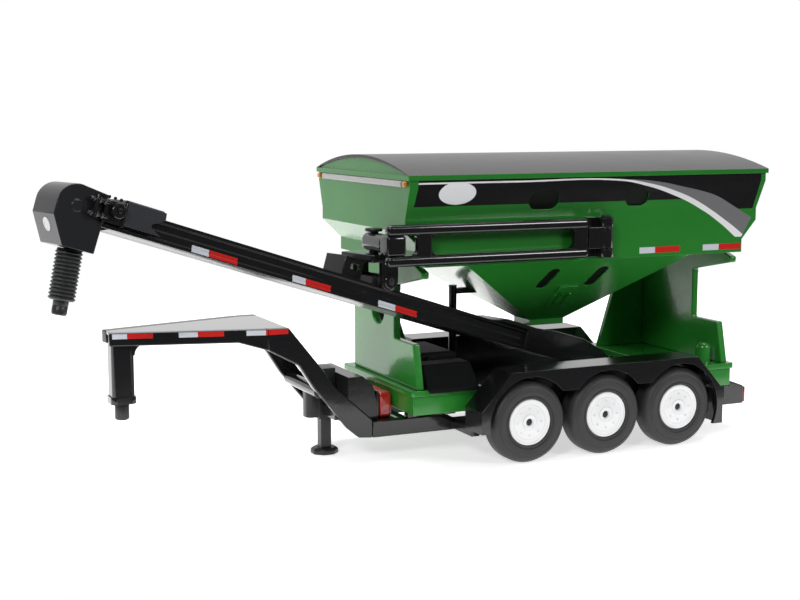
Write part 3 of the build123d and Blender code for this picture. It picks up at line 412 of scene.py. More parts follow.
def wheel_print(graph, base):
    """Two faint grey rings on the white wheel faces."""
    x, _, z = graph.mapped(TRAILER)
    masks = []
    for name in AXLES:
        dx = graph.math("SUBTRACT", x, axle_x(name))
        dz = graph.math("SUBTRACT", z, AXLE.z / MM)
        far = graph.math("SQRT", graph.math("ADD", graph.math("MULTIPLY", dx, dx),
                                            graph.math("MULTIPLY", dz, dz)))
        masks.append(graph.either(*[graph.between(far, *ring) for ring in RING_RADII]))
    faint = graph.math("MULTIPLY", graph.either(*masks), RING_STRENGTH)
    return graph.tint(faint, base, RING_GREY)


GREEN = (0.022, 0.215, 0.026)
# Edge tints brighter than the paint: partly thin paint, partly a painted highlight on the edges.
EDGE_GREEN_WORN_AND_HIGHLIT = (0.07, 0.40, 0.07)
BLACK = (0.0075, 0.0075, 0.0085)
EDGE_BLACK_WORN_AND_HIGHLIT = (0.10, 0.10, 0.105)

GLOSS = dict(edge_wear_and_highlight_colour=EDGE_BLACK_WORN_AND_HIGHLIT, wear_and_highlight=0.25, dust=0.03, rubs=0.15)
PAINT = dict(colour=GREEN, edge_wear_and_highlight_colour=EDGE_GREEN_WORN_AND_HIGHLIT, wear_and_highlight=0.55, peel=0.25, coat=0.2)
LOOKS = {
    "hopper_green": dict(roughness=0.16, marks=hopper_marks, **PAINT),
    "stand_green": dict(roughness=0.15, **PAINT),
    "frame_black": dict(colour=BLACK, roughness=0.12, peel=0.12, coat=0.3, **GLOSS),
    "neck_black": dict(
        colour=BLACK, roughness=0.12, peel=0.1, coat=0.3, marks=neck_marks, **GLOSS
    ),
    "plate_black": dict(colour=BLACK, roughness=0.08, peel=0.08, coat=1.0, ior=1.8, **GLOSS),
    "conveyor_black": dict(colour=BLACK, roughness=0.14, peel=0.1, marks=conveyor_marks, **GLOSS),
    "moulded_black": dict(
        colour=(0.009, 0.009, 0.010), roughness=0.16, peel=0.12, grit=0.02, **GLOSS
    ),
    "jack_black": dict(colour=(0.016, 0.016, 0.017), roughness=0.34, peel=0.3, grit=0.1, **GLOSS),
    "spout_black": dict(
        colour=(0.023, 0.024, 0.025), roughness=0.38, edge_wear_and_highlight_colour=(0.08, 0.08, 0.08), wear_and_highlight=0.3,
        peel=0.3, grit=0.12, dust=0.35,
    ),
    "cover_satin": dict(
        colour=(0.014, 0.014, 0.015), roughness=0.27, edge_wear_and_highlight_colour=(0.06, 0.06, 0.06), wear_and_highlight=0.3,
        peel=0.14, grit=0.03, dust=0.3, rubs=0.2,
    ),
    "tyre_rubber": dict(
        colour=(0.028, 0.027, 0.028), roughness=0.48, edge_wear_and_highlight_colour=(0.06, 0.06, 0.06), wear_and_highlight=0.4,
        peel=0.35, grit=0.2, dust=0.4, rubs=0.5,
    ),
    "wheel_white": dict(
        colour=(0.86, 0.86, 0.87), roughness=0.3, edge_wear_and_highlight_colour=(0.7, 0.7, 0.7), wear_and_highlight=0.4,
        dust=0.15, tone=0.02, marks=wheel_print,
    ),
    "axle_dark": dict(
        colour=(0.05, 0.05, 0.052), roughness=0.4, edge_wear_and_highlight_colour=(0.2, 0.2, 0.2), wear_and_highlight=0.4,
        metallic=0.8,
    ),
    "pin_black": dict(colour=(0.02, 0.02, 0.021), roughness=0.3, peel=0.3, grit=0.1, **GLOSS),
    "tank_red": dict(
        colour=(0.42, 0.012, 0.008), roughness=0.12, edge_wear_and_highlight_colour=(0.7, 0.08, 0.05), wear_and_highlight=0.6,
        peel=1.6, peel_scale=0.9, coat=0.5,
    ),
    "lamp_red": dict(
        colour=(0.40, 0.010, 0.008), roughness=0.1, edge_wear_and_highlight_colour=(0.6, 0.05, 0.04), wear_and_highlight=0.4,
        coat=0.6,
    ),
    "lamp_amber": dict(
        colour=(0.62, 0.24, 0.015), roughness=0.14, edge_wear_and_highlight_colour=(0.8, 0.4, 0.05), wear_and_highlight=0.4,
        coat=0.5,
    ),
    "strip_silver": dict(
        colour=(0.50, 0.50, 0.49), roughness=0.34, edge_wear_and_highlight_colour=(0.7, 0.7, 0.7), wear_and_highlight=0.4,
        metallic=0.35, grit=0.15,
    ),
    # Near-black, dull sheet in the sight-window pockets: painted shade for their dark inside.
    "window_painted_shade_black": dict(colour=(0.004, 0.006, 0.004), roughness=0.5, peel=0.2, ior=1.25),
    "dull_black": dict(
        colour=(0.006, 0.006, 0.007), roughness=0.6, peel=0.2, grit=0.1, ior=1.2, dust=0.1
    ),
    "head_black": dict(colour=(0.018, 0.0185, 0.021), roughness=0.2, peel=0.1, **GLOSS),
    "cover_grey": dict(colour=(0.032, 0.033, 0.038), roughness=0.3, peel=0.12, **GLOSS),
    "badge_white": dict(
        colour=(0.74, 0.76, 0.80), roughness=0.3, edge_wear_and_highlight_colour=(0.5, 0.5, 0.5), wear_and_highlight=0.5,
        dust=0.1, tone=0.02,
    ),
}
FINISHES = {name: finish_of(name, **look) for name, look in LOOKS.items()}


# ---- meshes ------------------------------------------------------------------------
def dressed(mesh, name, body, finish, replaced=()):
    """A finished mesh as a piece that rides a body and stands for CAD nodes."""
    piece = placed(name, mesh)
    mesh.materials.clear()
    mesh.materials.append(FINISHES[finish])
    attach(piece, body)
    if replaced:
        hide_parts(*replaced)
    return piece


def settled(piece):
    """The mesh with its modifiers applied; the helper object goes."""
    graph = bpy.context.evaluated_depsgraph_get()
    mesh = bpy.data.meshes.new_from_object(piece.evaluated_get(graph))
    mesh.name = piece.name + "_mesh"
    bpy.data.objects.remove(piece)
    return mesh


def with_flat_faces(helper):
    """Large faces keep a flat shading beside the small ones that round their edges."""
    weight = helper.modifiers.new("normals", "WEIGHTED_NORMAL")
    weight.keep_sharp = True
    weight.weight = 80
    return helper


def cast_mesh(node, width, steps=2, angle=25.0):
    """A CAD node's shape with merged faces and rounded edges, as a casting has."""
    source = frame["nodes"][node].data
    work = bmesh.new()
    work.from_mesh(source)
    bmesh.ops.remove_doubles(work, verts=work.verts, dist=2e-7)
    bmesh.ops.dissolve_limit(
        work, angle_limit=math.radians(0.6), verts=work.verts, edges=work.edges
    )
    mesh = bpy.data.meshes.new(node + "_work")
    work.to_mesh(mesh)
    work.free()
    helper = placed(node + "_cast", mesh)
    bevel = helper.modifiers.new("round", "BEVEL")
    bevel.width = width * MM
    bevel.segments = steps
    bevel.limit_method = "ANGLE"
    bevel.angle_limit = math.radians(angle)
    bevel.use_clamp_overlap = True
    bevel.miter_outer = "MITER_ARC"
    for face in mesh.polygons:
        face.use_smooth = True
    return settled(with_flat_faces(helper))


def cast(node, width, finish, slot, steps=2, angle=25.0):
    """A rounded CAD node as a piece of its own."""
    mesh = cast_mesh(node, width, steps, angle)
    return dressed(mesh, node + "_cast", BODY_OF[node], finish, [node])


def smooth_by_angle(mesh, degrees):
    """Smooth shading that stays crisp across edges sharper than an angle."""
    for face in mesh.polygons:
        face.use_smooth = True
    mesh.set_sharp_from_angle(angle=math.radians(degrees))


def lathe(work, profile, sides, matrix):
    """Turns an outline of (radius, height) about z.

    It closes at a point where the radius is 0, and otherwise back on its first ring.
    """
    rings = []
    for radius, height in profile:
        if radius < 1e-6:
            rings.append([work.verts.new(matrix @ Vector((0.0, 0.0, height)))])
            continue
        ring = []
        for k in range(sides):
            a = 2.0 * math.pi * k / sides
            spot = Vector((radius * math.cos(a), radius * math.sin(a), height))
            ring.append(work.verts.new(matrix @ spot))
        rings.append(ring)
    closed = profile[0][0] > 1e-6
    pairs = list(zip(rings, rings[1:] + ([rings[0]] if closed else [])))
    for lower, upper in pairs:
        if len(lower) == 1 and len(upper) == 1:
            continue
        for k in range(sides):
            n = (k + 1) % sides
            if len(lower) == 1:
                work.faces.new((lower[0], upper[n], upper[k]))
            elif len(upper) == 1:
                work.faces.new((lower[k], lower[n], upper[0]))
            else:
                work.faces.new((lower[k], lower[n], upper[n], upper[k]))


def mesh_from(work, name, sharp=32.0):
    """A mesh whose large faces stay flat to the eye beside their rounded edges."""
    bmesh.ops.recalc_face_normals(work, faces=work.faces)
    mesh = bpy.data.meshes.new(name)
    work.to_mesh(mesh)
    work.free()
    smooth_by_angle(mesh, sharp)
    return settled(with_flat_faces(placed(name, mesh)))


def box_into(work, low, high, matrix, round_by=0.0, steps=2):
    """A closed box with rounded edges, in a piece's own millimetres."""
    size = Vector(high) - Vector(low)
    middle = (Vector(high) + Vector(low)) / 2.0
    part = bmesh.new()
    bmesh.ops.create_cube(part, size=1.0)
    for v in part.verts:
        v.co = Vector((v.co.x * size.x, v.co.y * size.y, v.co.z * size.z)) + middle
    if round_by:
        bmesh.ops.bevel(
            part, geom=part.edges[:], offset=round_by, segments=steps, affect="EDGES", profile=0.5
        )
    join_into(work, part, matrix)


def plate_into(work, outline, y0, y1, matrix, round_by=0.0):
    """A plate with an outline in x and z, thick along y, with rounded edges."""
    part = bmesh.new()
    near = [part.verts.new((x, y0, z)) for x, z in outline]
    far = [part.verts.new((x, y1, z)) for x, z in outline]
    part.faces.new(near)
    part.faces.new(far[::-1])
    for k in range(len(outline)):
        n = (k + 1) % len(outline)
        part.faces.new((near[k], far[k], far[n], near[n]))
    bmesh.ops.recalc_face_normals(part, faces=part.faces)
    if round_by:
        rims = [e for e in part.edges if e.calc_face_angle(0.0) > math.radians(20)]
        bmesh.ops.bevel(
            part, geom=rims, offset=round_by, segments=2, affect="EDGES", profile=0.5,
            clamp_overlap=True,
        )
    join_into(work, part, matrix)


def join_into(work, part, matrix):
    """Moves a shape to its place and adds it to the others of its piece."""
    bmesh.ops.transform(part, matrix=matrix, verts=part.verts)
    scrap = bpy.data.meshes.new("scrap")
    part.to_mesh(scrap)
    part.free()
    work.from_mesh(scrap)
    bpy.data.meshes.remove(scrap)


def turned_to(direction, spot):
    """A matrix that stands a lathe's z axis along a direction, at a spot."""
    turn = Vector(direction).to_track_quat("Z", "Y").to_matrix().to_4x4()
    return Matrix.Translation(Vector(spot)) @ turn


def bolt_into(work, spot, direction, radius, height, matrix):
    """A chamfered hexagon head standing on a spot."""
    rim = radius * 0.88
    profile = [(0, 0), (radius, 0), (radius, height * 0.7), (rim, height), (0, height)]
    lathe(work, profile, 6, matrix @ turned_to(direction, spot))


def node_box(node):
    """A CAD node's low and high corners in the trailer's millimetres."""
    return [(corner - START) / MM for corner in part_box(node)]


# ---- wheels ------------------------------------------------------------------------
TYRE_R = AXLE.z / MM
FACE_Y = 19.5
TYRE_W = 4.2
HUB_R = 3.5


def tyre_profile():
    """Half the tyre from the bead out to the tread, mirrored: (radius, across)."""
    wide = TYRE_W / 2.0
    half = [
        (HUB_R, 0.0), (HUB_R, wide - 0.32), (HUB_R + 0.10, wide - 0.14), (3.78, wide - 0.10),
        (3.88, wide - 0.22), (4.0, wide - 0.22), (4.1, wide - 0.08), (4.35, wide - 0.02),
        (4.75, wide), (5.05, wide - 0.02), (5.14, wide - 0.10), (5.24, wide - 0.10),
        (5.33, wide - 0.05), (5.55, wide - 0.14), (5.78, wide - 0.32), (5.97, wide - 0.56),
        (6.11, wide - 0.86), (6.18, wide - 1.02), (6.235, wide - 1.16), (6.25, wide - 1.3),
        (TYRE_R, 0.0),
    ]
    other = [(r, -y) for r, y in reversed(half[1:-1])]
    return half + other


def hub_profile(outward):
    """The wheel disc: a rolled rim, a shallow dish and a raised centre."""
    t = 2.6
    points = [
        (0.55, -t), (3.3, -t), (3.48, -t + 0.15), (3.48, -0.10), (3.40, 0.0), (3.20, 0.0),
        (3.08, -0.10), (2.9, -0.13), (1.35, -0.13), (1.22, -0.07), (1.12, 0.0), (0.75, 0.0),
        (0.62, -0.06), (0.55, -0.16),
    ]
    return [(r, y * outward) for r, y in points]


def stud_ring(count, radius, stud, height):
    """Geometry Nodes: small domed studs set round a circle, as one plain mesh."""
    tree = bpy.data.node_groups.new("stud_ring", "GeometryNodeTree")
    face = tree.interface
    face.new_socket("Geometry", in_out="INPUT", socket_type="NodeSocketGeometry")
    ids = {}
    for label, kind, value in (
        ("Count", "NodeSocketInt", count), ("Ring Radius", "NodeSocketFloat", radius * MM),
        ("Stud Radius", "NodeSocketFloat", stud * MM), ("Height", "NodeSocketFloat", height * MM),
    ):
        socket = face.new_socket(label, in_out="INPUT", socket_type=kind)
        socket.default_value = value
        ids[label] = (socket.identifier, value)
    face.new_socket("Geometry", in_out="OUTPUT", socket_type="NodeSocketGeometry")
    n, link = tree.nodes.new, tree.links.new
    given, out = n("NodeGroupInput"), n("NodeGroupOutput")
    circle = n("GeometryNodeMeshCircle")
    link(given.outputs["Count"], circle.inputs["Vertices"])
    link(given.outputs["Ring Radius"], circle.inputs["Radius"])
    stem = n("GeometryNodeMeshCone")
    stem.inputs["Vertices"].default_value = 10
    link(given.outputs["Stud Radius"], stem.inputs["Radius Bottom"])
    narrow = n("ShaderNodeMath")
    narrow.operation = "MULTIPLY"
    narrow.inputs[1].default_value = 0.55
    link(given.outputs["Stud Radius"], narrow.inputs[0])
    link(narrow.outputs[0], stem.inputs["Radius Top"])
    link(given.outputs["Height"], stem.inputs["Depth"])
    scatter = n("GeometryNodeInstanceOnPoints")
    link(circle.outputs[0], scatter.inputs["Points"])
    link(stem.outputs[0], scatter.inputs["Instance"])
    real = n("GeometryNodeRealizeInstances")
    link(scatter.outputs[0], real.inputs[0])
    paint = n("GeometryNodeSetMaterial")
    paint.inputs["Material"].default_value = FINISHES["wheel_white"]
    link(real.outputs[0], paint.inputs[0])
    link(paint.outputs[0], out.inputs[0])
    holder = placed("stud_holder", bpy.data.meshes.new("stud_holder"))
    modifier = holder.modifiers.new("studs", "NODES")
    modifier.node_group = tree
    for identifier, value in ids.values():
        modifier[identifier] = value
    return settled(holder)


def wheels():
    """Three pairs of tyres and studded discs, and the rods that join each pair."""
    studs = stud_ring(8, 2.05, 0.17, 0.12)
    for name in AXLES:
        body = "wheels_" + name
        x = axle_x(name)
        tyres, hubs = bmesh.new(), bmesh.new()
        for side in (-1, 1):
            middle = side * (FACE_Y - TYRE_W / 2.0)
            stand = TRAILER @ Matrix.Translation((x, middle, TYRE_R))
            lathe(tyres, tyre_profile(), 96, stand @ Matrix.Rotation(math.radians(-90), 4, "X"))
            face = side * (FACE_Y - 0.18)
            stand = TRAILER @ Matrix.Translation((x, face, TYRE_R))
            turn = stand @ Matrix.Rotation(math.radians(-90), 4, "X")
            lathe(hubs, hub_profile(side), 72, turn)
            ring = studs.copy()
            lift = Matrix.Translation((0, 0, side * -0.09)) @ Matrix.Diagonal((1, 1, side, 1))
            ring.transform(turn @ lift @ Matrix.Diagonal((1 / MM, 1 / MM, 1 / MM, 1)))
            hubs.from_mesh(ring)
            bpy.data.meshes.remove(ring)
        dressed(mesh_from(tyres, body + "_tyres", 40), "rubber_tyres_" + name, body,
                "tyre_rubber", ["tyres_" + name])
        dressed(mesh_from(hubs, body + "_discs", 35), "wheel_discs_" + name, body,
                "wheel_white", ["hubs_" + name])
        cast("axle_" + name, 0.06, "axle_dark", "axle_steel")


# ---- spout -------------------------------------------------------------------------
RIBS = 13
RIB_PITCH = 0.48
SPOUT_R = 1.72
SPOUT_ROOT = 1.5
SPOUT_TOP = (-47.9, -7.6)
SPOUT_LEAN = 5.5
TIP_R = 0.98


def spout():
    """The ribbed sleeve with round ribs, and its narrower tip."""
    profile = [(0, 0.0), (1.5, 0.0), (SPOUT_ROOT + 0.1, -0.22)]
    depth = 0.25
    turns = 10
    for k in range(RIBS * turns + 1):
        wave = 0.5 - 0.5 * math.cos(2 * math.pi * k / turns)
        swell = wave ** 0.7
        radius = SPOUT_ROOT + (SPOUT_R - SPOUT_ROOT) * swell
        profile.append((radius, -depth - k * RIB_PITCH / turns))
    end = depth + RIBS * RIB_PITCH
    profile += [(SPOUT_ROOT - 0.1, -end - 0.03), (0, -end - 0.03)]
    place = CONVEYOR @ Matrix.Translation((SPOUT_TOP[0], 0, SPOUT_TOP[1]))
    place = place @ Matrix.Rotation(math.radians(-SPOUT_LEAN), 4, "Y")
    work = bmesh.new()
    lathe(work, profile[::-1], 64, place)
    dressed(mesh_from(work, "sleeve", 60), "spout_sleeve", "conveyor", "spout_black",
            ["spout_bellows"])
    tip = [
        (0, -end + 0.05), (TIP_R, -end + 0.05), (TIP_R, -end - 0.6), (TIP_R - 0.04, -end - 0.64),
        (TIP_R - 0.04, -end - 0.72), (TIP_R, -end - 0.76), (TIP_R, -end - 1.66),
        (TIP_R - 0.07, -end - 1.83), (TIP_R - 0.2, -end - 1.89), (TIP_R - 0.34, -end - 1.84),
        (TIP_R - 0.38, -end - 1.5), (0, -end - 1.48),
    ]
    work = bmesh.new()
    lathe(work, tip, 48, place)
    dressed(mesh_from(work, "tip", 45), "spout_end", "conveyor", "spout_black",
            ["spout_tip"])


# ---- conveyor head -----------------------------------------------------------------
def head_cover():
    """The raised cover beside the head, whose lower rear corner is cut in a wave."""
    outline = [(-43.4, -0.1), (-37.9, -0.1), (-37.8, -1.0), (-38.1, -1.25)]
    for k in range(9):
        t = k / 8.0
        outline.append((-38.35 - 1.25 * math.sin(t * math.pi / 2), -1.45 - 0.75 * t))
    for k in range(1, 9):
        t = k / 8.0
        outline.append((-39.6 + 1.55 * (1 - math.cos(t * math.pi / 2)), -2.2 - 0.95 * t))
    outline += [(-37.95, -3.2), (-43.3, -3.2), (-43.4, -3.1)]
    work = bmesh.new()
    plate_into(work, outline, -3.65, -3.0, CONVEYOR, 0.12)
    box_into(work, (-43.4, -3.1, -0.95), (-37.8, 3.3, 0.1), CONVEYOR, 0.22, 3)
    box_into(work, (-43.3, 2.95, -3.1), (-37.9, 3.33, -0.2), CONVEYOR, 0.1)
    dressed(mesh_from(work, "cover", 40), "head_side_cover", "conveyor", "cover_grey",
            ["head_cover"])


def tensioner():
    """The belt take-up on the head's left side: slotted plate, rods, nuts and bolts."""
    side = -3.1
    work = bmesh.new()
    box_into(work, (-48.1, side - 1.0, -3.2), (-47.72, side, -0.35), CONVEYOR, 0.06)
    box_into(work, (-46.4, side - 0.45, -3.35), (-43.5, side, -0.5), CONVEYOR, 0.12)
    for x in (-46.5, -43.75):
        box_into(work, (x, side - 0.62, -3.5), (x + 0.28, side, -0.35), CONVEYOR, 0.05)
    for z in (-2.75, -0.95):
        rod = [(0, -48.75), (0.2, -48.75), (0.24, -48.6), (0.24, -46.1), (0.2, -45.9), (0, -45.9)]
        along = Matrix.Translation((0, side - 0.6, z)) @ Matrix.Rotation(math.radians(90), 4, "Y")
        lathe(work, rod, 16, CONVEYOR @ along)
        for x in (-48.35, -47.55, -46.85):
            bolt_into(work, (x, side - 0.6, z), (1, 0, 0), 0.42, 0.3, CONVEYOR)
    for k in range(5):
        bolt_into(work, (-46.9 + k * 0.85, side, -0.15), (0, -1, 0), 0.22, 0.22, CONVEYOR)
    for x, z in ((-45.9, -1.1), (-44.3, -1.1), (-45.9, -2.8), (-44.3, -2.8)):
        bolt_into(work, (x, side - 0.45, z), (0, -1, 0), 0.2, 0.14, CONVEYOR)
    dressed(mesh_from(work, "take_up", 35), "belt_take_up", "conveyor", "moulded_black",
            ["belt_tensioner"])


def head_casing():
    """The head casting and the plain white disc on its front."""
    cast("head_housing", 0.28, "head_black", "black_plastic", 3, 30)
    work = bmesh.new()
    cap = [(0, 0.0), (0.92, 0.0), (0.92, 0.03), (0.86, 0.07), (0.7, 0.07), (0.66, 0.04), (0, 0.04)]
    normal = (-0.863, 0, -0.504)
    lathe(work, cap, 40, CONVEYOR @ turned_to(normal, (-51.83, -0.3, -5.38)))
    dressed(mesh_from(work, "cap", 30), "head_front_cap", "conveyor", "badge_white")


def drive_motor():
    """The belt's motor: a stepped round case with four bolts on its end."""
    work = bmesh.new()
    x, z, side = -44.7, -1.6, -3.0
    body = [(0, 0), (1.02, 0), (1.02, 0.35), (0.9, 0.42), (0.9, 0.85), (1.0, 0.92), (1.0, 1.12),
            (0.88, 1.22), (0.34, 1.22), (0.3, 1.42), (0.22, 1.48), (0, 1.48)]
    lathe(work, body, 40, CONVEYOR @ turned_to((0, -1, 0), (x, side, z)))
    for k in range(4):
        a = math.pi / 4 + k * math.pi / 2
        spot = (x + 0.68 * math.cos(a), side - 1.2, z + 0.68 * math.sin(a))
        bolt_into(work, spot, (0, -1, 0), 0.13, 0.1, CONVEYOR)
    dressed(mesh_from(work, "motor", 35), "drive_motor_case", "conveyor", "moulded_black",
            ["drive_motor"])


BULGES = 4


def fuel_tank():
    """The moulded tank, in four rounded bulges side by side."""
    lo, hi = node_box("fuel_tank")
    work = bmesh.new()
    wide = (hi.y - lo.y) / BULGES
    for k in range(BULGES):
        y = lo.y + k * wide
        box_into(work, (lo.x, max(lo.y, y - 0.12), lo.z), (hi.x, min(hi.y, y + wide + 0.12), hi.z),
                 TRAILER, 0.6, 5)
    box_into(work, (lo.x + 0.12, lo.y + 0.3, lo.z), (hi.x - 0.12, hi.y - 0.3, hi.z - 0.3), TRAILER,
             0.3, 3)
    dressed(mesh_from(work, "tank", 40), "fuel_tank_moulding", "frame", "tank_red",
            ["fuel_tank"])


# ---- small fittings ----------------------------------------------------------------
def pivot_fittings():
    """The pins that the arm, the conveyor and the hitch turn on, with rounded ends."""
    for node in ("arm_pin", "swivel_pin", "tilt_pin", "hitch_pin"):
        cast(node, 0.1, "pin_black", "pin_black")


LENS_RIBS = 9


def lamp_lenses():
    """Tail lamps with ribbed lenses, corner markers and the front light strip."""
    lo, hi = node_box("tail_lamps")
    work = bmesh.new()
    for middle in (-9.6, 9.6):
        box_into(work, (lo.x, middle - 2.9, lo.z), (hi.x - 0.18, middle + 2.9, hi.z), TRAILER,
                 0.14)
        for k in range(LENS_RIBS):
            y = middle - 2.5 + 5.0 * k / (LENS_RIBS - 1)
            box_into(work, (lo.x + 0.2, y - 0.14, lo.z + 0.3), (hi.x - 0.02, y + 0.14, hi.z - 0.3),
                     TRAILER, 0.08)
    dressed(mesh_from(work, "tail", 35), "tail_lamp_lenses", "frame", "lamp_red",
            ["tail_lamps"])
    cast("marker_lamps", 0.14, "lamp_amber", "amber")
    lo, hi = node_box("light_strip")
    work = bmesh.new()
    box_into(work, (lo.x + 0.1, -15.2, lo.z + 0.02), (hi.x, 15.3, hi.z), TRAILER, 0.07)
    box_into(work, (lo.x, -15.1, lo.z + 0.16), (hi.x - 0.1, 15.2, hi.z - 0.16), TRAILER, 0.08)
    dressed(mesh_from(work, "strip", 35), "front_light_strip", "frame", "strip_silver",
            ["light_strip"])


# ---- swing arm ---------------------------------------------------------------------
RAIL_X = (-36.0, -2.8)
RAIL_Y = (-18.2, -16.5)
RAIL_Z = ((30.3, 31.85), (34.75, 36.3))
POST_X = ((-31.3, -28.9), (-5.2, -2.8))


def corner_into(work, x, z, sx, sz, radius):
    """The rounded inside corner where a post meets a rail."""
    outline = [(x, z), (x + sx * radius, z)]
    for k in range(1, 7):
        a = k / 6 * math.pi / 2
        outline.append((x + sx * radius * (1 - math.sin(a)), z + sz * radius * (1 - math.cos(a))))
    plate_into(work, outline, RAIL_Y[0] + 0.35, RAIL_Y[1] - 0.15, TRAILER)


def swing_arm():
    """Two rails and the posts between them, and the bar that carries the conveyor."""
    work = bmesh.new()
    for low, high in RAIL_Z:
        box_into(work, (RAIL_X[0], RAIL_Y[0], low), (RAIL_X[1], RAIL_Y[1], high), TRAILER, 0.62, 5)
    low, high = RAIL_Z[0][1], RAIL_Z[1][0]
    for x0, x1 in POST_X:
        box_into(work, (x0, RAIL_Y[0] + 0.15, low - 0.7), (x1, RAIL_Y[1] - 0.05, high + 0.7),
                 TRAILER, 0.5, 4)
    for x, sx in ((POST_X[0][1], 1), (POST_X[1][0], -1), (POST_X[0][0], -1)):
        corner_into(work, x - sx * 0.2, low - 0.2, sx, 1, 1.3)
        corner_into(work, x - sx * 0.2, high + 0.2, sx, -1, 1.3)
    dressed(mesh_from(work, "arm", 40), "arm_frame", "arm", "frame_black",
            ["arm_rails", "arm_posts"])
    work = bmesh.new()
    box_into(work, (-36.0, -18.0, low - 0.1), (-33.0, -14.9, high + 0.1), TRAILER, 0.6, 4)
    box_into(work, (-35.85, -15.4, low + 0.1), (-33.1, -7.5, high - 0.1), TRAILER, 1.1, 6)
    dressed(mesh_from(work, "bar", 40), "arm_cross_bar", "arm", "frame_black",
            ["arm_cross_block"])


# ---- build -------------------------------------------------------------------------
CASTINGS = [
    ("hopper_shell", 0.16, "hopper_green", "green_paint"),
    ("front_pedestal", 0.2, "stand_green", "green_paint"),
    ("rear_pedestal", 0.2, "stand_green", "green_paint"),
    ("pedestal_gussets", 0.15, "stand_green", "green_paint"),
    ("pedestal_skirts", 0.16, "stand_green", "green_paint"),
    ("pedestal_decks", 0.16, "stand_green", "green_paint"),
    ("tarp_cover", 0.14, "cover_satin", "tarp"),
    # The window sheets' near-black is painted shade of the pockets' inside.
    ("sight_windows", 0.03, "window_painted_shade_black", "window_black"),
    ("chassis_rails", 0.16, "frame_black", "black_paint"),
    ("cross_members", 0.12, "frame_black", "black_paint"),
    ("deck_supports", 0.12, "frame_black", "black_paint"),
    ("axle_carriers", 0.12, "frame_black", "black_paint"),
    ("neck_legs", 0.22, "neck_black", "black_paint"),
    ("neck_beams", 0.2, "neck_black", "black_paint"),
    ("neck_plate", 0.08, "plate_black", "black_paint"),
    ("neck_cross_bars", 0.12, "frame_black", "black_paint"),
    ("coupler_post", 0.14, "frame_black", "black_paint"),
    ("fender_left", 0.16, "frame_black", "black_paint"),
    ("fender_right", 0.16, "frame_black", "black_paint"),
    ("fender_brackets", 0.1, "frame_black", "black_paint"),
    ("rear_bumper", 0.2, "frame_black", "black_paint"),
    ("arm_barrel", 0.12, "frame_black", "black_paint"),
    ("arm_bracket", 0.12, "frame_black", "black_paint"),
    ("swivel_yoke", 0.16, "frame_black", "black_paint"),
    ("conveyor_trough", 0.1, "conveyor_black", "black_plastic"),
    ("belt_pan", 0.08, "moulded_black", "black_plastic"),
    ("lift_bracket", 0.12, "moulded_black", "black_plastic"),
    ("inlet_hood", 0.25, "moulded_black", "black_plastic"),
    ("jack_tube", 0.12, "jack_black", "black_plastic"),
    ("jack_leg", 0.12, "jack_black", "black_plastic"),
    ("control_box", 0.18, "dull_black", "black_plastic"),
    ("pump_engine", 0.18, "dull_black", "black_plastic"),
    ("engine_cowl", 0.18, "moulded_black", "black_plastic"),
    ("support_tube", 0.08, "frame_black", "black_plastic"),
]
for casting in CASTINGS:
    cast(*casting)
wheels()
swing_arm()
spout()
head_cover()
tensioner()
head_casing()
fuel_tank()
drive_motor()
pivot_fittings()
lamp_lenses()


# ---- floor, light and camera -------------------------------------------------------
FLOOR_HALF = 0.22
FLOOR_FRONT, FLOOR_BACK = -0.046, 0.18  # it ends near the wheels, so that it isn't mirrored
SKY_TOWARD = (0.38, 0.86, 0.34)


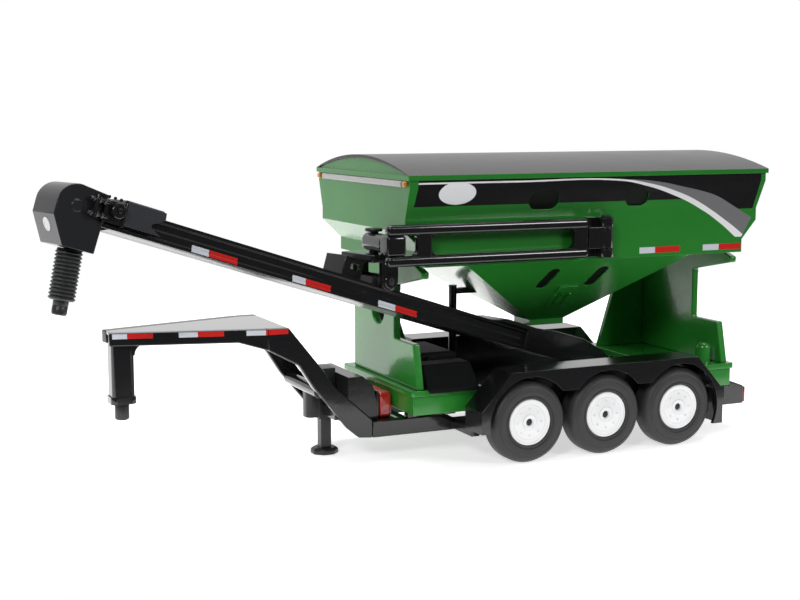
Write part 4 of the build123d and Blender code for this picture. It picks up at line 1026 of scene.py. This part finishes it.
def stage():
    """A white sheet under the model and a studio that is bright behind and above."""
    mesh = bpy.data.meshes.new("floor")
    mesh.from_pydata(
        [(-FLOOR_HALF, FLOOR_FRONT, 0), (FLOOR_HALF, FLOOR_FRONT, 0),
         (FLOOR_HALF, FLOOR_BACK, 0), (-FLOOR_HALF, FLOOR_BACK, 0)],
        [], [(0, 1, 2, 3)],
    )
    floor = placed("floor", mesh)
    paper = bpy.data.materials.new("floor_paper")
    paper.use_nodes = True
    graph = Graph(paper.node_tree)
    shader = paper.node_tree.nodes["Principled BSDF"]
    shader.inputs["Specular IOR Level"].default_value = 0.15
    spot = graph.node("ShaderNodeTexCoord").outputs["Object"]
    grain = graph.node("ShaderNodeTexNoise", {"Vector": spot, "Scale": 900.0, "Detail": 3.0})
    tone = graph.tint(grain.outputs[0], (0.90, 0.90, 0.90, 1), (0.93, 0.93, 0.93, 1))
    graph.feed(shader.inputs["Base Color"], tone)
    shader.inputs["Roughness"].default_value = 0.6
    shader.inputs["Emission Color"].default_value = (1.0, 1.0, 1.0, 1.0)
    shader.inputs["Emission Strength"].default_value = 0.6
    mesh.materials.append(paper)
    world = bpy.data.worlds.new("studio")
    bpy.context.scene.world = world
    world.use_nodes = True
    graph = Graph(world.node_tree)
    back = world.node_tree.nodes["Background"]
    way = graph.node("ShaderNodeTexCoord").outputs["Generated"]
    toward = graph.node("ShaderNodeVectorMath", operation="DOT_PRODUCT")
    graph.feed(toward.inputs[0], way)
    toward.inputs[1].default_value = SKY_TOWARD
    glow = graph.node("ShaderNodeMapRange", {"Value": toward.outputs["Value"]})
    glow.interpolation_type = "SMOOTHSTEP"
    for name, value in (("From Min", -0.15), ("From Max", 0.7), ("To Min", 0.09), ("To Max", 0.85)):
        glow.inputs[name].default_value = value
    seen = graph.node("ShaderNodeLightPath").outputs["Is Camera Ray"]
    graph.feed(back.inputs["Strength"], graph.math("MAXIMUM", glow.outputs[0], seen))
    back.inputs["Color"].default_value = (1.0, 1.0, 1.0, 1.0)


def soft_light(name, spot, aim, size, power):
    """A rectangular lamp that faces a spot."""
    lamp = bpy.data.lights.new(name, "AREA")
    lamp.shape = "RECTANGLE"
    lamp.size, lamp.size_y = size
    lamp.energy = power
    holder = placed(name, lamp)
    holder.location = spot
    holder.rotation_euler = (Vector(aim) - Vector(spot)).to_track_quat("-Z", "Y").to_euler()


def studio():
    """One wide lamp overhead and two small ones in front, which make the highlights."""
    middle = Vector((0.0, 0.0, 0.025))
    soft_light("overhead", (0.0, 0.08, 0.42), middle, (0.45, 0.25), 1.5)
    soft_light("left_front", (-0.34, -0.34, 0.30), middle, (0.12, 0.12), 1.0)
    soft_light("right_front", (0.30, -0.42, 0.26), middle, (0.14, 0.14), 0.9)


def camera():
    """The view from the front left, a little above the hopper."""
    lens = bpy.data.cameras.new("view")
    holder = placed("view", lens)
    lens.sensor_width = 36.0
    lens.lens = 62.6
    lens.clip_start = 0.005
    lens.clip_end = 50.0
    spot = TRAILER @ Vector((-116.0, -195.6, 51.8))
    aim = TRAILER @ Vector((-25.84, 0.0, 23.03))
    holder.location = spot
    holder.rotation_euler = (aim - spot).to_track_quat("-Z", "Y").to_euler()
    bpy.context.scene.camera = holder


stage()
studio()
camera()
bpy.context.scene.view_settings.view_transform = "Standard"
